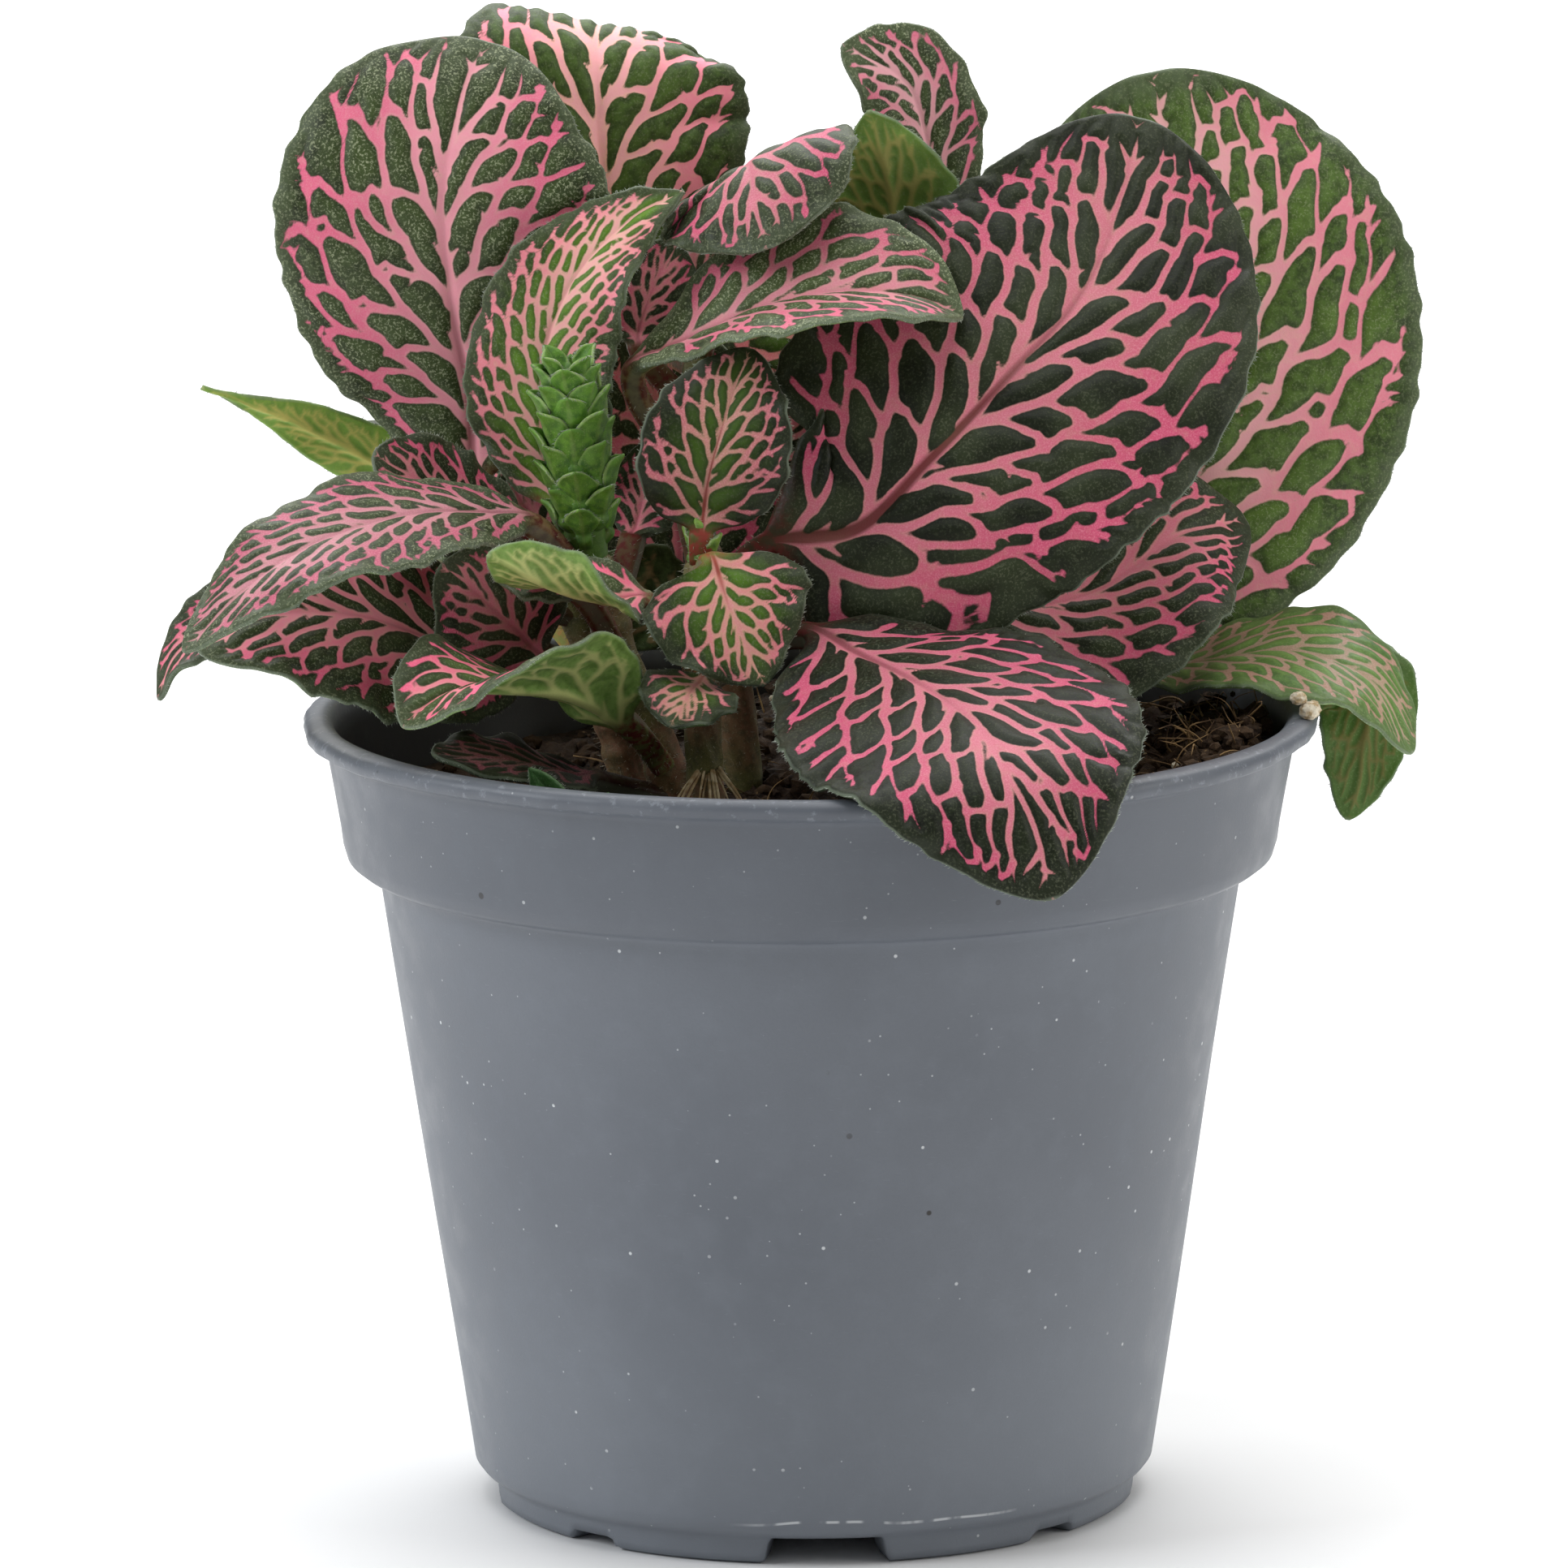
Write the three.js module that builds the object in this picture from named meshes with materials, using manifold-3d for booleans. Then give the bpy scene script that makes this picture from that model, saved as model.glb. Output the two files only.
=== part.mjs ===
// A pink-veined nerve plant growing in a tapered nursery pot.
//
// Millimetres, +Z up. The origin is the middle of the pot's foot pad, on the surface it stands on.
// The plant's best side looks along -Y, with +X to the right.
// Every leaf is a thin curved blade: its midrib follows a few points, its width follows one
// smooth profile, and each half of the blade can be folded, cupped and waved about the midrib.

import * as THREE from 'three';
import { mergeVertices } from 'three/addons/utils/BufferGeometryUtils.js';
import Module from 'manifold-3d';

const wasm = await Module();
wasm.setup();

// ---------------------------------------------------------------- driving dimensions

const POT_HEIGHT = 71.2;
const LIP_RADIUS = 45;
const LIP_WIDTH = 2.7;
const COLLAR_TOP_RADIUS = 43;
const COLLAR_FOOT_RADIUS = 41.8;
const COLLAR_FOOT_HEIGHT = 57.8;
const CONE_TOP_RADIUS = 38.5;
const CONE_FOOT_RADIUS = 30.6;
const CONE_FOOT_HEIGHT = 4.6;
const FOOT_RADIUS = 28.9;
const FOOT_INNER_RADIUS = 24;
const FOOT_HEIGHT = 2.4;
const PAD_RADIUS = 11;
const POT_WALL = 0.9;
const POT_SEGMENTS = 44;
const NOTCH_COUNT = 8;
const NOTCH_WIDTH = 10;
const SHALLOW_NOTCH_WIDTH = 5;
const SHALLOW_NOTCH_HEIGHT = 1.1;
const NOTCH_REACH = 11;
const NOTCH_START_ANGLE = 2;
const DRAIN_COUNT = 6;
const DRAIN_RADIUS = 2.5;
const DRAIN_RING_RADIUS = 18;

const SOIL_LEVEL = 62.4;
const SOIL_RISE = 4.6;
const SOIL_BUMP = 0.8;
const SOIL_RINGS = 5;
const SOIL_SECTORS = 32;

const SEAT_GAP = 0.3;
const STEM_SIDES = 8;
const STEM_STEPS = 8;

const BLADE_THICKNESS = 0.7;
const PETIOLE_RADIUS = 1.1;
const LARGE_LEAF = 27;
const SLIM_LEAF = 14;
const LARGE_GRID = { stalkRows: 2, rows: 12, columns: 6 };
const MIDDLE_GRID = { stalkRows: 2, rows: 9, columns: 4 };
const SLIM_GRID = { stalkRows: 1, rows: 7, columns: 4 };
const BRACT_GRID = { stalkRows: 1, rows: 2, columns: 2 };
const SPROUT_GRID = { stalkRows: 1, rows: 5, columns: 2 };

const SPIKE_FOOT = [-19.5, -6, 86.7];
const SPIKE_TIP = [-21.3, -7.5, 106];
const SPIKE_TIERS = 6;
const SPIKE_BRACTS_PER_TIER = 4;
const SPIKE_RADIUS = 2.1;
const BRACT_LENGTH = 5.2;
const BRACT_WIDTH = 4.4;

const DEGREE = Math.PI / 180;

// ---------------------------------------------------------------- materials

const POT_PLASTIC = { color: 0x70757d, roughness: 0.5, metalness: 0 };
const SOIL_PEAT = { color: 0x2a211b, roughness: 0.95, metalness: 0 };
const GRAIN_PALE = { color: 0xd8c9ae, roughness: 0.9, metalness: 0 };
const LEAF_DARK = { color: 0x9c5560, roughness: 0.55, metalness: 0 };
const LEAF_FRESH = { color: 0x8f7a4e, roughness: 0.55, metalness: 0 };
const LEAF_PALE = { color: 0x86a04e, roughness: 0.6, metalness: 0 };
const STEM_GREEN = { color: 0x76684a, roughness: 0.6, metalness: 0 };
const SPIKE_GREEN = { color: 0x4f9a32, roughness: 0.6, metalness: 0 };
const SPROUT_GREEN = { color: 0x3f6a35, roughness: 0.6, metalness: 0 };

// ---------------------------------------------------------------- stems
// Each stem runs from under the soil to its tip.

const STEMS = {
  stem_front: {
    radius: 1.7, route: [[-8.6, -10.5, 52], [-9.2, -12, 66], [-9.6, -12.4, 78], [-9.4, -12.6, 87]],
  },
  stem_left: {
    radius: 1.8, route: [[-11, -5, 52], [-13, -6, 68], [-17, -6, 78], [-19, -6, 86.4]],
  },
  stem_centre: {
    radius: 1.8, route: [[-5, 7, 52], [-7, 7, 74], [-10.5, 6.5, 90], [-9.5, 8, 102]],
  },
  stem_right: { radius: 1.9, route: [[15, 9, 52], [18, 10, 66], [22, 11.5, 80]] },
  stem_side: { radius: 1.6, route: [[-14, 9, 52], [-18, 9, 70], [-23, 8, 84]] },
  stem_back: { radius: 1.8, route: [[5, 20, 52], [8, 20, 76], [10, 17, 100]] },
};

// ---------------------------------------------------------------- leaves
// stem, at    the stem that carries the leaf, and how far up it the petiole leaves (0 to 1)
// rib         the midrib from the base of the blade to its tip
// across      the way across the blade to its right margin, seen from above with the tip up;
//             acrossTip is the same at the tip, where the blade is twisted
// width       full width of the blade when flat; widest says where along it, 0 base to 1 tip
// blunt       small for a rounded leaf, towards 1 for a pointed one
// fold, cup   [left, right] degrees that each half lifts at the midrib, and bends on to its margin

const LEAVES = [
  {
    name: 'leaf_left_tall', stem: 'stem_side', at: 0.98, finish: LEAF_DARK,
    rib: [
      [-29.2, 10.5, 89.6], [-30.3, 9.4, 98.6], [-31.8, 7.4, 107.6],
      [-32.2, 6.4, 116.5], [-30.9, 8, 124.3], [-28.2, 12.4, 129.5],
    ],
    across: [1, -0.1, 0], width: 31, widest: 0.56, blunt: 0.47, fold: [5, 5], cup: [-20, -20], wave: 0.6,
  },
  {
    name: 'leaf_back_left', stem: 'stem_centre', at: 0.97, finish: LEAF_DARK,
    rib: [
      [-14.9, 15, 103.7], [-17.6, 16.5, 113], [-18.6, 17, 121],
      [-18.6, 18.5, 127.4], [-18.6, 22.5, 129.6], [-18.4, 27, 127],
    ],
    across: [1, 0.1, -0.2], width: 28, widest: 0.55, blunt: 0.5, fold: [6, 6], cup: [-15, -22], wave: 0.6,
  },
  {
    name: 'leaf_crown_arched', stem: 'stem_centre', at: 1, finish: LEAF_DARK,
    rib: [[-6.4, 8.5, 114.5], [-5.4, 4, 119.5], [-4.4, -2, 117], [-3.5, -5.5, 113.3]],
    across: [-0.85, 0, -0.5],
    width: 20, widest: 0.5, blunt: 0.6, fold: [0, 0], cup: [-20, -20], wave: 0.5,
  },
  {
    name: 'leaf_crown_right', stem: 'stem_back', at: 1, finish: LEAF_DARK,
    rib: [[12.8, 16, 113], [11.2, 15.5, 118.5], [8.8, 14.5, 125.4], [3.2, 12.5, 129]],
    across: [0.75, 0.45, 0.45],
    width: 12.5, widest: 0.45, blunt: 0.65, fold: [8, 8], cup: [-10, -10], wave: 0.3,
  },
  {
    name: 'leaf_crown_green', stem: 'stem_back', at: 0.9, finish: LEAF_PALE,
    rib: [[7, 10, 107], [7.7, 8.8, 116], [5.6, 8, 123.8]],
    across: [-1, 0.25, 0], width: 13, widest: 0.4, blunt: 0.75, fold: [4, 4], cup: [-10, -10], wave: 0.3,
  },
  {
    name: 'leaf_right_tall', stem: 'stem_front', at: 0.87, finish: LEAF_DARK,
    rib: [
      [-3.7, -8.5, 87.4], [4.4, -10, 89.2], [10.6, -9, 95], [17.6, -6, 101.9],
      [23.6, -2, 107.8], [27.2, 3, 114], [29.6, 10, 122.7],
    ],
    across: [0.72, -0.34, -0.6],
    width: 37, widest: 0.48, blunt: 0.5, fold: [4, 4], cup: [-16, -22], wave: 0.7,
  },
  {
    name: 'leaf_back_right', stem: 'stem_right', at: 0.95, finish: LEAF_DARK,
    rib: [[28.7, 15, 76], [33.6, 17, 85.5], [35.3, 18.5, 99.2], [34.3, 20, 111.5], [31.2, 25, 124.8]],
    across: [0.98, 0.05, -0.1],
    width: 41.4, widest: 0.53, blunt: 0.5, fold: [4, 4], cup: [-14, -20], wave: 0.7,
  },
  {
    name: 'leaf_front_right', stem: 'stem_front', at: 0.76, finish: LEAF_DARK,
    rib: [
      [-0.2, -14.5, 80.4], [5.4, -21.4, 79.5], [13.1, -34.5, 77.1],
      [17.4, -44.2, 72.7], [20.6, -47.6, 63.2],
    ],
    across: [-0.6, -0.68, -0.42], acrossTip: [-0.95, -0.05, -0.2],
    width: 31, widest: 0.5, blunt: 0.66, fold: [-8, 4], cup: [-14, -4], wave: 0.6,
  },
  {
    name: 'leaf_right_middle', stem: 'stem_front', at: 0.68, finish: LEAF_DARK,
    rib: [[0.2, -6, 80.2], [11.8, -5, 80.6], [24.2, -1, 81.4], [33.8, 5, 86.1], [39.2, 11, 86.2]],
    across: [0.2, -0.65, -0.7],
    width: 22, widest: 0.5, blunt: 0.6, fold: [6, 6], cup: [-16, -16], wave: 0.5,
  },
  {
    name: 'leaf_right_low', stem: 'stem_right', at: 0.68, finish: LEAF_FRESH,
    rib: [[27, 8.5, 72], [35.7, 6.5, 74.1], [43.2, 5, 75.2], [49.9, 4, 72.7], [53.8, 3, 66.2]],
    across: [-0.07, -0.98, 0.05], acrossTip: [-0.1, -0.88, -0.45],
    width: 20, widest: 0.5, blunt: 0.65, fold: [6, 6], cup: [-10, -10], wave: 0.4,
  },
  {
    name: 'leaf_right_hanging', stem: 'stem_back', at: 0.46, finish: LEAF_PALE,
    rib: [[36, 23, 73], [44.5, 17, 73.8], [50, 12, 70], [49.6, 11, 64], [48.4, 11, 58.7]],
    across: [1, 0.2, 0], width: 11, widest: 0.45, blunt: 0.6, fold: [6, 6], cup: [-10, -10], wave: 0.3,
  },
  {
    name: 'leaf_left_arched', stem: 'stem_left', at: 0.84, finish: LEAF_DARK,
    rib: [
      [-24.2, -9.4, 89.4], [-31.1, -13.4, 91.4], [-38.7, -18, 91],
      [-46.5, -22, 88], [-54.4, -25.6, 81.2],
    ],
    across: [-0.27, 0.86, 0.36],
    width: 15.2, widest: 0.47, blunt: 0.68, fold: [8, 8], cup: [-16, -16], wave: 0.5,
  },
  {
    name: 'leaf_left_low', stem: 'stem_left', at: 0.55, finish: LEAF_DARK,
    rib: [[-24, -5, 75.2], [-32.6, -8, 78.8], [-40, -12, 82], [-47.2, -15.5, 82.5], [-53.6, -18, 80]],
    across: [0, 0.72, 0.66], width: 21, widest: 0.5, blunt: 0.6, fold: [6, 6], cup: [-12, -12], wave: 0.5,
  },
  {
    name: 'leaf_left_far', stem: 'stem_side', at: 0.82, finish: LEAF_DARK,
    rib: [[-34, 2, 82], [-43.4, -3.5, 83.2], [-50.3, -7.5, 81.6], [-55.7, -10, 78], [-57.3, -11, 74.3]],
    across: [-0.1, 0.8, 0.55],
    width: 10, widest: 0.45, blunt: 0.65, fold: [8, 8], cup: [-10, -10], wave: 0.4,
  },
  {
    name: 'leaf_left_pointed', stem: 'stem_side', at: 0.66, finish: LEAF_PALE,
    rib: [[-31.7, 14.3, 87.2], [-41, 13, 92.8], [-47.3, 8.5, 96.7], [-53.8, 3, 100]],
    across: [-0.4, 0.2, -0.85],
    width: 6.2, widest: 0.32, blunt: 1.35, fold: [8, 8], cup: [-6, -6], wave: 0.2,
  },
  {
    name: 'leaf_left_inner', stem: 'stem_left', at: 0.8, finish: LEAF_DARK,
    rib: [[-25.6, -1, 88], [-31.2, -3, 90.4], [-38.4, -6, 95.4]],
    across: [0.11, 0.51, 0.68],
    width: 11, widest: 0.5, blunt: 0.6, fold: [6, 6], cup: [-8, -8], wave: 0.3,
  },
  {
    name: 'leaf_centre_tall', stem: 'stem_left', at: 0.93, finish: LEAF_FRESH,
    rib: [
      [-22, 2.5, 89], [-23.5, 1.5, 96.3], [-23, 0.8, 104],
      [-20.3, 0.3, 110.2], [-15.7, 0.9, 114.9], [-10.8, 2.2, 117.4],
    ],
    across: [0.93, -0.35, 0], acrossTip: [0.75, -0.4, -0.4],
    width: 14.6, widest: 0.38, blunt: 0.8, fold: [12, 14], cup: [-14, -14], wave: 0.5,
  },
  {
    name: 'leaf_centre_arched', stem: 'stem_centre', at: 0.78, finish: LEAF_DARK,
    rib: [
      [-15.4, 0.5, 101.5], [-9.5, -2.3, 105.3], [-3.1, -4.3, 108.3],
      [3, -5.6, 109.4], [9, -5.7, 109.1], [13.7, -5, 107],
    ],
    across: [0, -0.89, -0.45],
    width: 19.5, widest: 0.58, blunt: 0.7, fold: [24, 24], cup: [-10, -10], wave: 0.3,
  },
  {
    name: 'leaf_centre_upright', stem: 'stem_front', at: 0.99, finish: LEAF_FRESH,
    rib: [[-9.4, -13, 89.5], [-8.8, -13.8, 94], [-7.6, -12.8, 98.4], [-6.2, -10.3, 102.2], [-5, -8, 104.9]],
    across: [1, 0, 0], width: 13.5, widest: 0.4, blunt: 0.65, fold: [12, 12], cup: [-8, -8], wave: 0.3,
  },
  {
    name: 'leaf_centre_drooping', stem: 'stem_front', at: 0.9, finish: LEAF_FRESH,
    rib: [[-8.4, -15.5, 87], [-6.7, -18.5, 82.8], [-3.9, -20.5, 77]],
    across: [-0.95, -0.1, -0.15],
    width: 15, widest: 0.34, blunt: 0.75, fold: [8, 8], cup: [-12, -12], wave: 0.4,
  },
  {
    name: 'leaf_inner_dark', stem: 'stem_centre', at: 0.9, finish: LEAF_DARK,
    rib: [[-15, 7.7, 102.8], [-14, 8.1, 107.1], [-11.5, 9.1, 112]],
    across: [0.9, 0, -0.3], width: 8.2, widest: 0.5, blunt: 0.6, fold: [8, 8], cup: [-8, -8], wave: 0.3,
  },
  {
    name: 'leaf_lower_violet', stem: 'stem_left', at: 0.7, finish: LEAF_DARK,
    rib: [[-23.5, -7.6, 77.6], [-26.5, -10, 81], [-29.5, -10.6, 84], [-32.5, -10.8, 86.2]],
    across: [0.6, 0.1, 0.6], width: 13, widest: 0.45, blunt: 0.6, fold: [6, 6], cup: [-8, -8], wave: 0.3,
  },
  {
    name: 'leaf_small_folded', stem: 'stem_front', at: 0.72, finish: LEAF_PALE,
    rib: [[-14.6, -14.4, 83.4], [-17.9, -16.5, 84.2], [-21.8, -19, 85.6], [-28, -21.5, 89]],
    across: [-0.3, 0.6, 0.7], acrossTip: [-0.2, 0.3, -0.9], width: 10, widest: 0.4, blunt: 0.65,
    fold: [20, 20], cup: [-4, -4], wave: 0.3,
  },
  {
    name: 'leaf_small_low', stem: 'stem_front', at: 0.6, finish: LEAF_FRESH,
    rib: [[-9.5, -17.5, 76.7], [-10.6, -20.5, 76.2], [-12.2, -23.5, 73.9]],
    across: [-0.77, 0.39, 0.28],
    width: 9, widest: 0.45, blunt: 0.65, fold: [8, 8], cup: [-8, -8], wave: 0.3,
  },
  {
    name: 'leaf_lower_green', stem: 'stem_left', at: 0.42, finish: LEAF_PALE,
    rib: [
      [-16.4, -15, 73], [-21.1, -19, 76.2], [-26.2, -22.6, 77.4],
      [-31.3, -26, 77.6], [-35.4, -28.6, 75],
    ],
    across: [0, 0.7, -0.7], acrossTip: [-0.7, 0.5, 0.4], width: 17, widest: 0.46, blunt: 0.65,
    fold: [26, 26], cup: [-6, -6], wave: 0.3,
  },
  {
    name: 'leaf_under_spike', stem: 'stem_left', at: 0.74, finish: LEAF_DARK,
    rib: [[-20.6, -11.6, 84.2], [-23.8, -13.3, 85.2], [-27.4, -14.5, 85.6]],
    across: [-0.3, 0.7, 0.5], width: 6, widest: 0.45, blunt: 0.6, fold: [6, 6], cup: [-8, -8], wave: 0.2,
  },
  {
    name: 'leaf_beside_spike', stem: 'stem_left', at: 0.82, finish: LEAF_DARK,
    rib: [[-15.6, 0.5, 86.6], [-14.6, 1, 90.4], [-14.2, 2, 95]],
    across: [0.8, -0.3, 0], width: 7, widest: 0.45, blunt: 0.6, fold: [6, 6], cup: [-8, -8], wave: 0.2,
  },
  {
    name: 'leaf_heart_dark', stem: 'stem_centre', at: 0.38, finish: LEAF_DARK,
    rib: [[-10.5, 12.5, 74], [-11.5, 15, 83], [-13, 17, 93], [-14.5, 19, 104]],
    across: [1, 0, 0], width: 21, widest: 0.58, blunt: 0.6, fold: [6, 6], cup: [-10, -10], wave: 0.3,
  },
  {
    name: 'leaf_lower_dark', stem: 'stem_left', at: 0.34, finish: LEAF_DARK,
    rib: [[-19, -11, 66.8], [-25, -15, 69.2], [-33, -19.5, 70.8]],
    across: [-0.45, 0.8, 0.25],
    width: 11, widest: 0.5, blunt: 0.6, fold: [6, 6], cup: [-8, -8], wave: 0.3,
  },
  {
    name: 'leaf_rear_low_left', stem: 'stem_side', at: 0.6, finish: LEAF_DARK,
    rib: [[-19, 20, 78], [-25, 31, 81], [-31, 41, 79], [-35, 49, 72.5]],
    across: [0.72, 0.45, -0.15],
    width: 24, widest: 0.5, blunt: 0.6, fold: [6, 6], cup: [-14, -14], wave: 0.5,
  },
  {
    name: 'leaf_rear_low_right', stem: 'stem_back', at: 0.62, finish: LEAF_DARK,
    rib: [[14, 26, 80], [20, 36, 82], [26, 46, 78], [28, 52, 71]],
    across: [0.77, -0.45, 0.15],
    width: 25, widest: 0.5, blunt: 0.6, fold: [6, 6], cup: [-14, -14], wave: 0.5,
  },
  {
    name: 'leaf_rear_middle', stem: 'stem_back', at: 0.72, finish: LEAF_DARK,
    rib: [[4, 27, 92], [2, 36, 96], [0, 45, 94], [-2, 52, 87]],
    across: [0.98, 0.2, 0], width: 26, widest: 0.5, blunt: 0.6, fold: [6, 6], cup: [-14, -14], wave: 0.5,
  },
  {
    name: 'leaf_rear_left', stem: 'stem_side', at: 0.86, finish: LEAF_DARK,
    rib: [[-24, 17.5, 87], [-28, 26, 91.5], [-32, 35, 93], [-36, 43, 90]],
    across: [0.8, 0.5, 0.1], width: 24, widest: 0.5, blunt: 0.6, fold: [6, 6], cup: [-14, -14], wave: 0.5,
  },
  {
    name: 'leaf_rear_upright', stem: 'stem_back', at: 0.78, finish: LEAF_FRESH,
    rib: [[4, 24, 96], [0, 27, 103], [-3, 31, 107], [-5, 36, 106]],
    across: [1, 0, 0], width: 18, widest: 0.5, blunt: 0.6, fold: [8, 8], cup: [-12, -12], wave: 0.4,
  },
  {
    name: 'leaf_rear_right', stem: 'stem_back', at: 0.84, finish: LEAF_DARK,
    rib: [[18, 24, 100], [25, 31, 105], [32, 38, 106], [38, 45, 101]],
    across: [0.75, -0.6, 0.1],
    width: 24, widest: 0.5, blunt: 0.6, fold: [6, 6], cup: [-14, -14], wave: 0.5,
  },
];

// Narrow young shoots that stand in the soil at the left.
const SPROUTS = {
  name: 'sprouts', root: [-20, -21, 60], holeRadius: 2.4,
  blades: [
    { rib: [[-21.5, -22.5, 66], [-24.5, -24, 70.5]], across: [0.9, 0.2, 0.3], width: 2.6 },
    { rib: [[-19, -22.6, 65], [-17.6, -25, 68.4]], across: [0.9, -0.3, 0.2], width: 2.6 },
  ],
};

const GRAINS = [
  { name: 'grain_rim', place: [44.4, 2, 72.5], size: [1.5, 1.2, 0.9], seed: 3 },
  { name: 'grain_front', place: [30.5, -19.4, 67.2], size: [1.1, 1, 0.9], seed: 5 },
  { name: 'grain_left', place: [-29.5, -10, 63.5], size: [1.0, 0.9, 0.7], seed: 8 },
];

// ---------------------------------------------------------------- solids

/** A closed geometry as a solid that can be cut and joined. */
function solidOf(geometry) {
  const bare = geometry.clone();
  bare.deleteAttribute('normal');
  bare.deleteAttribute('uv');
  const merged = mergeVertices(bare, 1e-4);
  const vertProperties = new Float32Array(merged.attributes.position.array);
  const triVerts = new Uint32Array(merged.index.array);
  return new wasm.Manifold(new wasm.Mesh({ numProp: 3, vertProperties, triVerts }));
}

function geometryOf(solid) {
  const { vertProperties, triVerts } = solid.getMesh();
  const geometry = new THREE.BufferGeometry();
  geometry.setAttribute('position', new THREE.BufferAttribute(vertProperties, 3));
  geometry.setIndex(new THREE.BufferAttribute(triVerts, 1));
  geometry.computeVertexNormals();
  return geometry;
}

/** A lathe about Z from [radius, height] pairs. */
function latheAboutZ(profile, segments) {
  const points = profile.map(([radius, height]) => new THREE.Vector2(radius, height));
  const geometry = new THREE.LatheGeometry(points, segments);
  geometry.rotateX(Math.PI / 2);
  return geometry;
}

/** Draws the same numbers in 0..1 for the same seed. */
function seededDraw(seed) {
  let state = seed * 7919 + 17;
  return () => {
    state = (state * 16807) % 2147483647;
    return state / 2147483647;
  };
}

// ---------------------------------------------------------------- pot

function potOuterProfile() {
  return [
    [0, 0], [PAD_RADIUS, 0], [PAD_RADIUS + 1, FOOT_HEIGHT],
    [FOOT_INNER_RADIUS - 1, FOOT_HEIGHT], [FOOT_INNER_RADIUS, 0],
    [FOOT_RADIUS - 0.5, 0], [FOOT_RADIUS, 0.5], [FOOT_RADIUS + 0.1, FOOT_HEIGHT],
    [CONE_FOOT_RADIUS - 0.5, FOOT_HEIGHT + 0.8], [CONE_FOOT_RADIUS, CONE_FOOT_HEIGHT],
    [CONE_TOP_RADIUS, COLLAR_FOOT_HEIGHT - 0.7], [CONE_TOP_RADIUS + 0.5, COLLAR_FOOT_HEIGHT],
    [COLLAR_FOOT_RADIUS - 1.4, COLLAR_FOOT_HEIGHT + 0.2],
    [COLLAR_FOOT_RADIUS - 0.3, COLLAR_FOOT_HEIGHT + 1.4],
    [COLLAR_FOOT_RADIUS, COLLAR_FOOT_HEIGHT + 3.2], [COLLAR_TOP_RADIUS, POT_HEIGHT - 2.4],
    [COLLAR_TOP_RADIUS + 0.5, POT_HEIGHT - 1.9], [LIP_RADIUS - 0.4, POT_HEIGHT - 1.8],
    [LIP_RADIUS, POT_HEIGHT - 1], [LIP_RADIUS - 0.5, POT_HEIGHT - 0.2], [LIP_RADIUS - 1.4, POT_HEIGHT],
  ];
}

function potInnerProfile() {
  return [
    [LIP_RADIUS - LIP_WIDTH, POT_HEIGHT - 0.5], [COLLAR_TOP_RADIUS - POT_WALL, POT_HEIGHT - 2.4],
    [COLLAR_FOOT_RADIUS - POT_WALL, COLLAR_FOOT_HEIGHT + 3.4],
    [COLLAR_FOOT_RADIUS - 1.8, COLLAR_FOOT_HEIGHT + POT_WALL + 0.5],
    [CONE_TOP_RADIUS - POT_WALL + 0.4, COLLAR_FOOT_HEIGHT + 0.6],
    [CONE_TOP_RADIUS - POT_WALL, COLLAR_FOOT_HEIGHT - 0.6],
    [CONE_FOOT_RADIUS - POT_WALL, CONE_FOOT_HEIGHT + 0.8],
    [CONE_FOOT_RADIUS - POT_WALL - 1, FOOT_HEIGHT + POT_WALL], [0, FOOT_HEIGHT + POT_WALL],
  ];
}

function makePot() {
  const wall = latheAboutZ([...potOuterProfile(), ...potInnerProfile()], POT_SEGMENTS);
  let solid = solidOf(wall);
  for (let i = 0; i < NOTCH_COUNT; i += 1) {
    const angle = (NOTCH_START_ANGLE + (i * 360) / NOTCH_COUNT) * DEGREE;
    const deep = i % 2 === 0;
    const width = deep ? NOTCH_WIDTH : SHALLOW_NOTCH_WIDTH;
    const height = deep ? FOOT_HEIGHT - 0.1 : SHALLOW_NOTCH_HEIGHT;
    const notch = new THREE.BoxGeometry(width, NOTCH_REACH, 2 * height);
    notch.translate(0, -(FOOT_RADIUS + FOOT_INNER_RADIUS) / 2, 0);
    notch.rotateZ(angle);
    solid = solid.subtract(solidOf(notch));
  }
  for (let i = 0; i < DRAIN_COUNT; i += 1) {
    const angle = (i * 360 * DEGREE) / DRAIN_COUNT;
    const drain = new THREE.CylinderGeometry(DRAIN_RADIUS, DRAIN_RADIUS, 8, 12);
    drain.rotateX(Math.PI / 2);
    drain.translate(DRAIN_RING_RADIUS, 0, FOOT_HEIGHT);
    drain.rotateZ(angle);
    solid = solid.subtract(solidOf(drain));
  }
  return geometryOf(solid);
}

// ---------------------------------------------------------------- stems

function stemCurve(name) {
  const points = STEMS[name].route.map((point) => new THREE.Vector3(...point));
  return new THREE.CatmullRomCurve3(points, false, 'centripetal');
}

/** A round bar along a stem's route, grown by a clearance all over. */
function stemBar(name, clearance) {
  const { radius } = STEMS[name];
  const section = new THREE.Shape();
  for (let i = 0; i <= STEM_SIDES; i += 1) {
    const angle = (i * 2 * Math.PI) / STEM_SIDES;
    const x = (radius + clearance) * Math.cos(angle);
    const y = (radius + clearance) * Math.sin(angle);
    if (i === 0) section.moveTo(x, y);
    else section.lineTo(x, y);
  }
  let path = stemCurve(name);
  if (clearance > 0) {
    const points = path.points.map((point) => point.clone());
    const last = points.length - 1;
    const start = path.getTangentAt(0).multiplyScalar(-clearance);
    const end = path.getTangentAt(1).multiplyScalar(clearance);
    points[0].add(start);
    points[last].add(end);
    path = new THREE.CatmullRomCurve3(points, false, 'centripetal');
  }
  return new THREE.ExtrudeGeometry(section, { steps: STEM_STEPS, extrudePath: path, bevelEnabled: false });
}

// ---------------------------------------------------------------- soil

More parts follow.
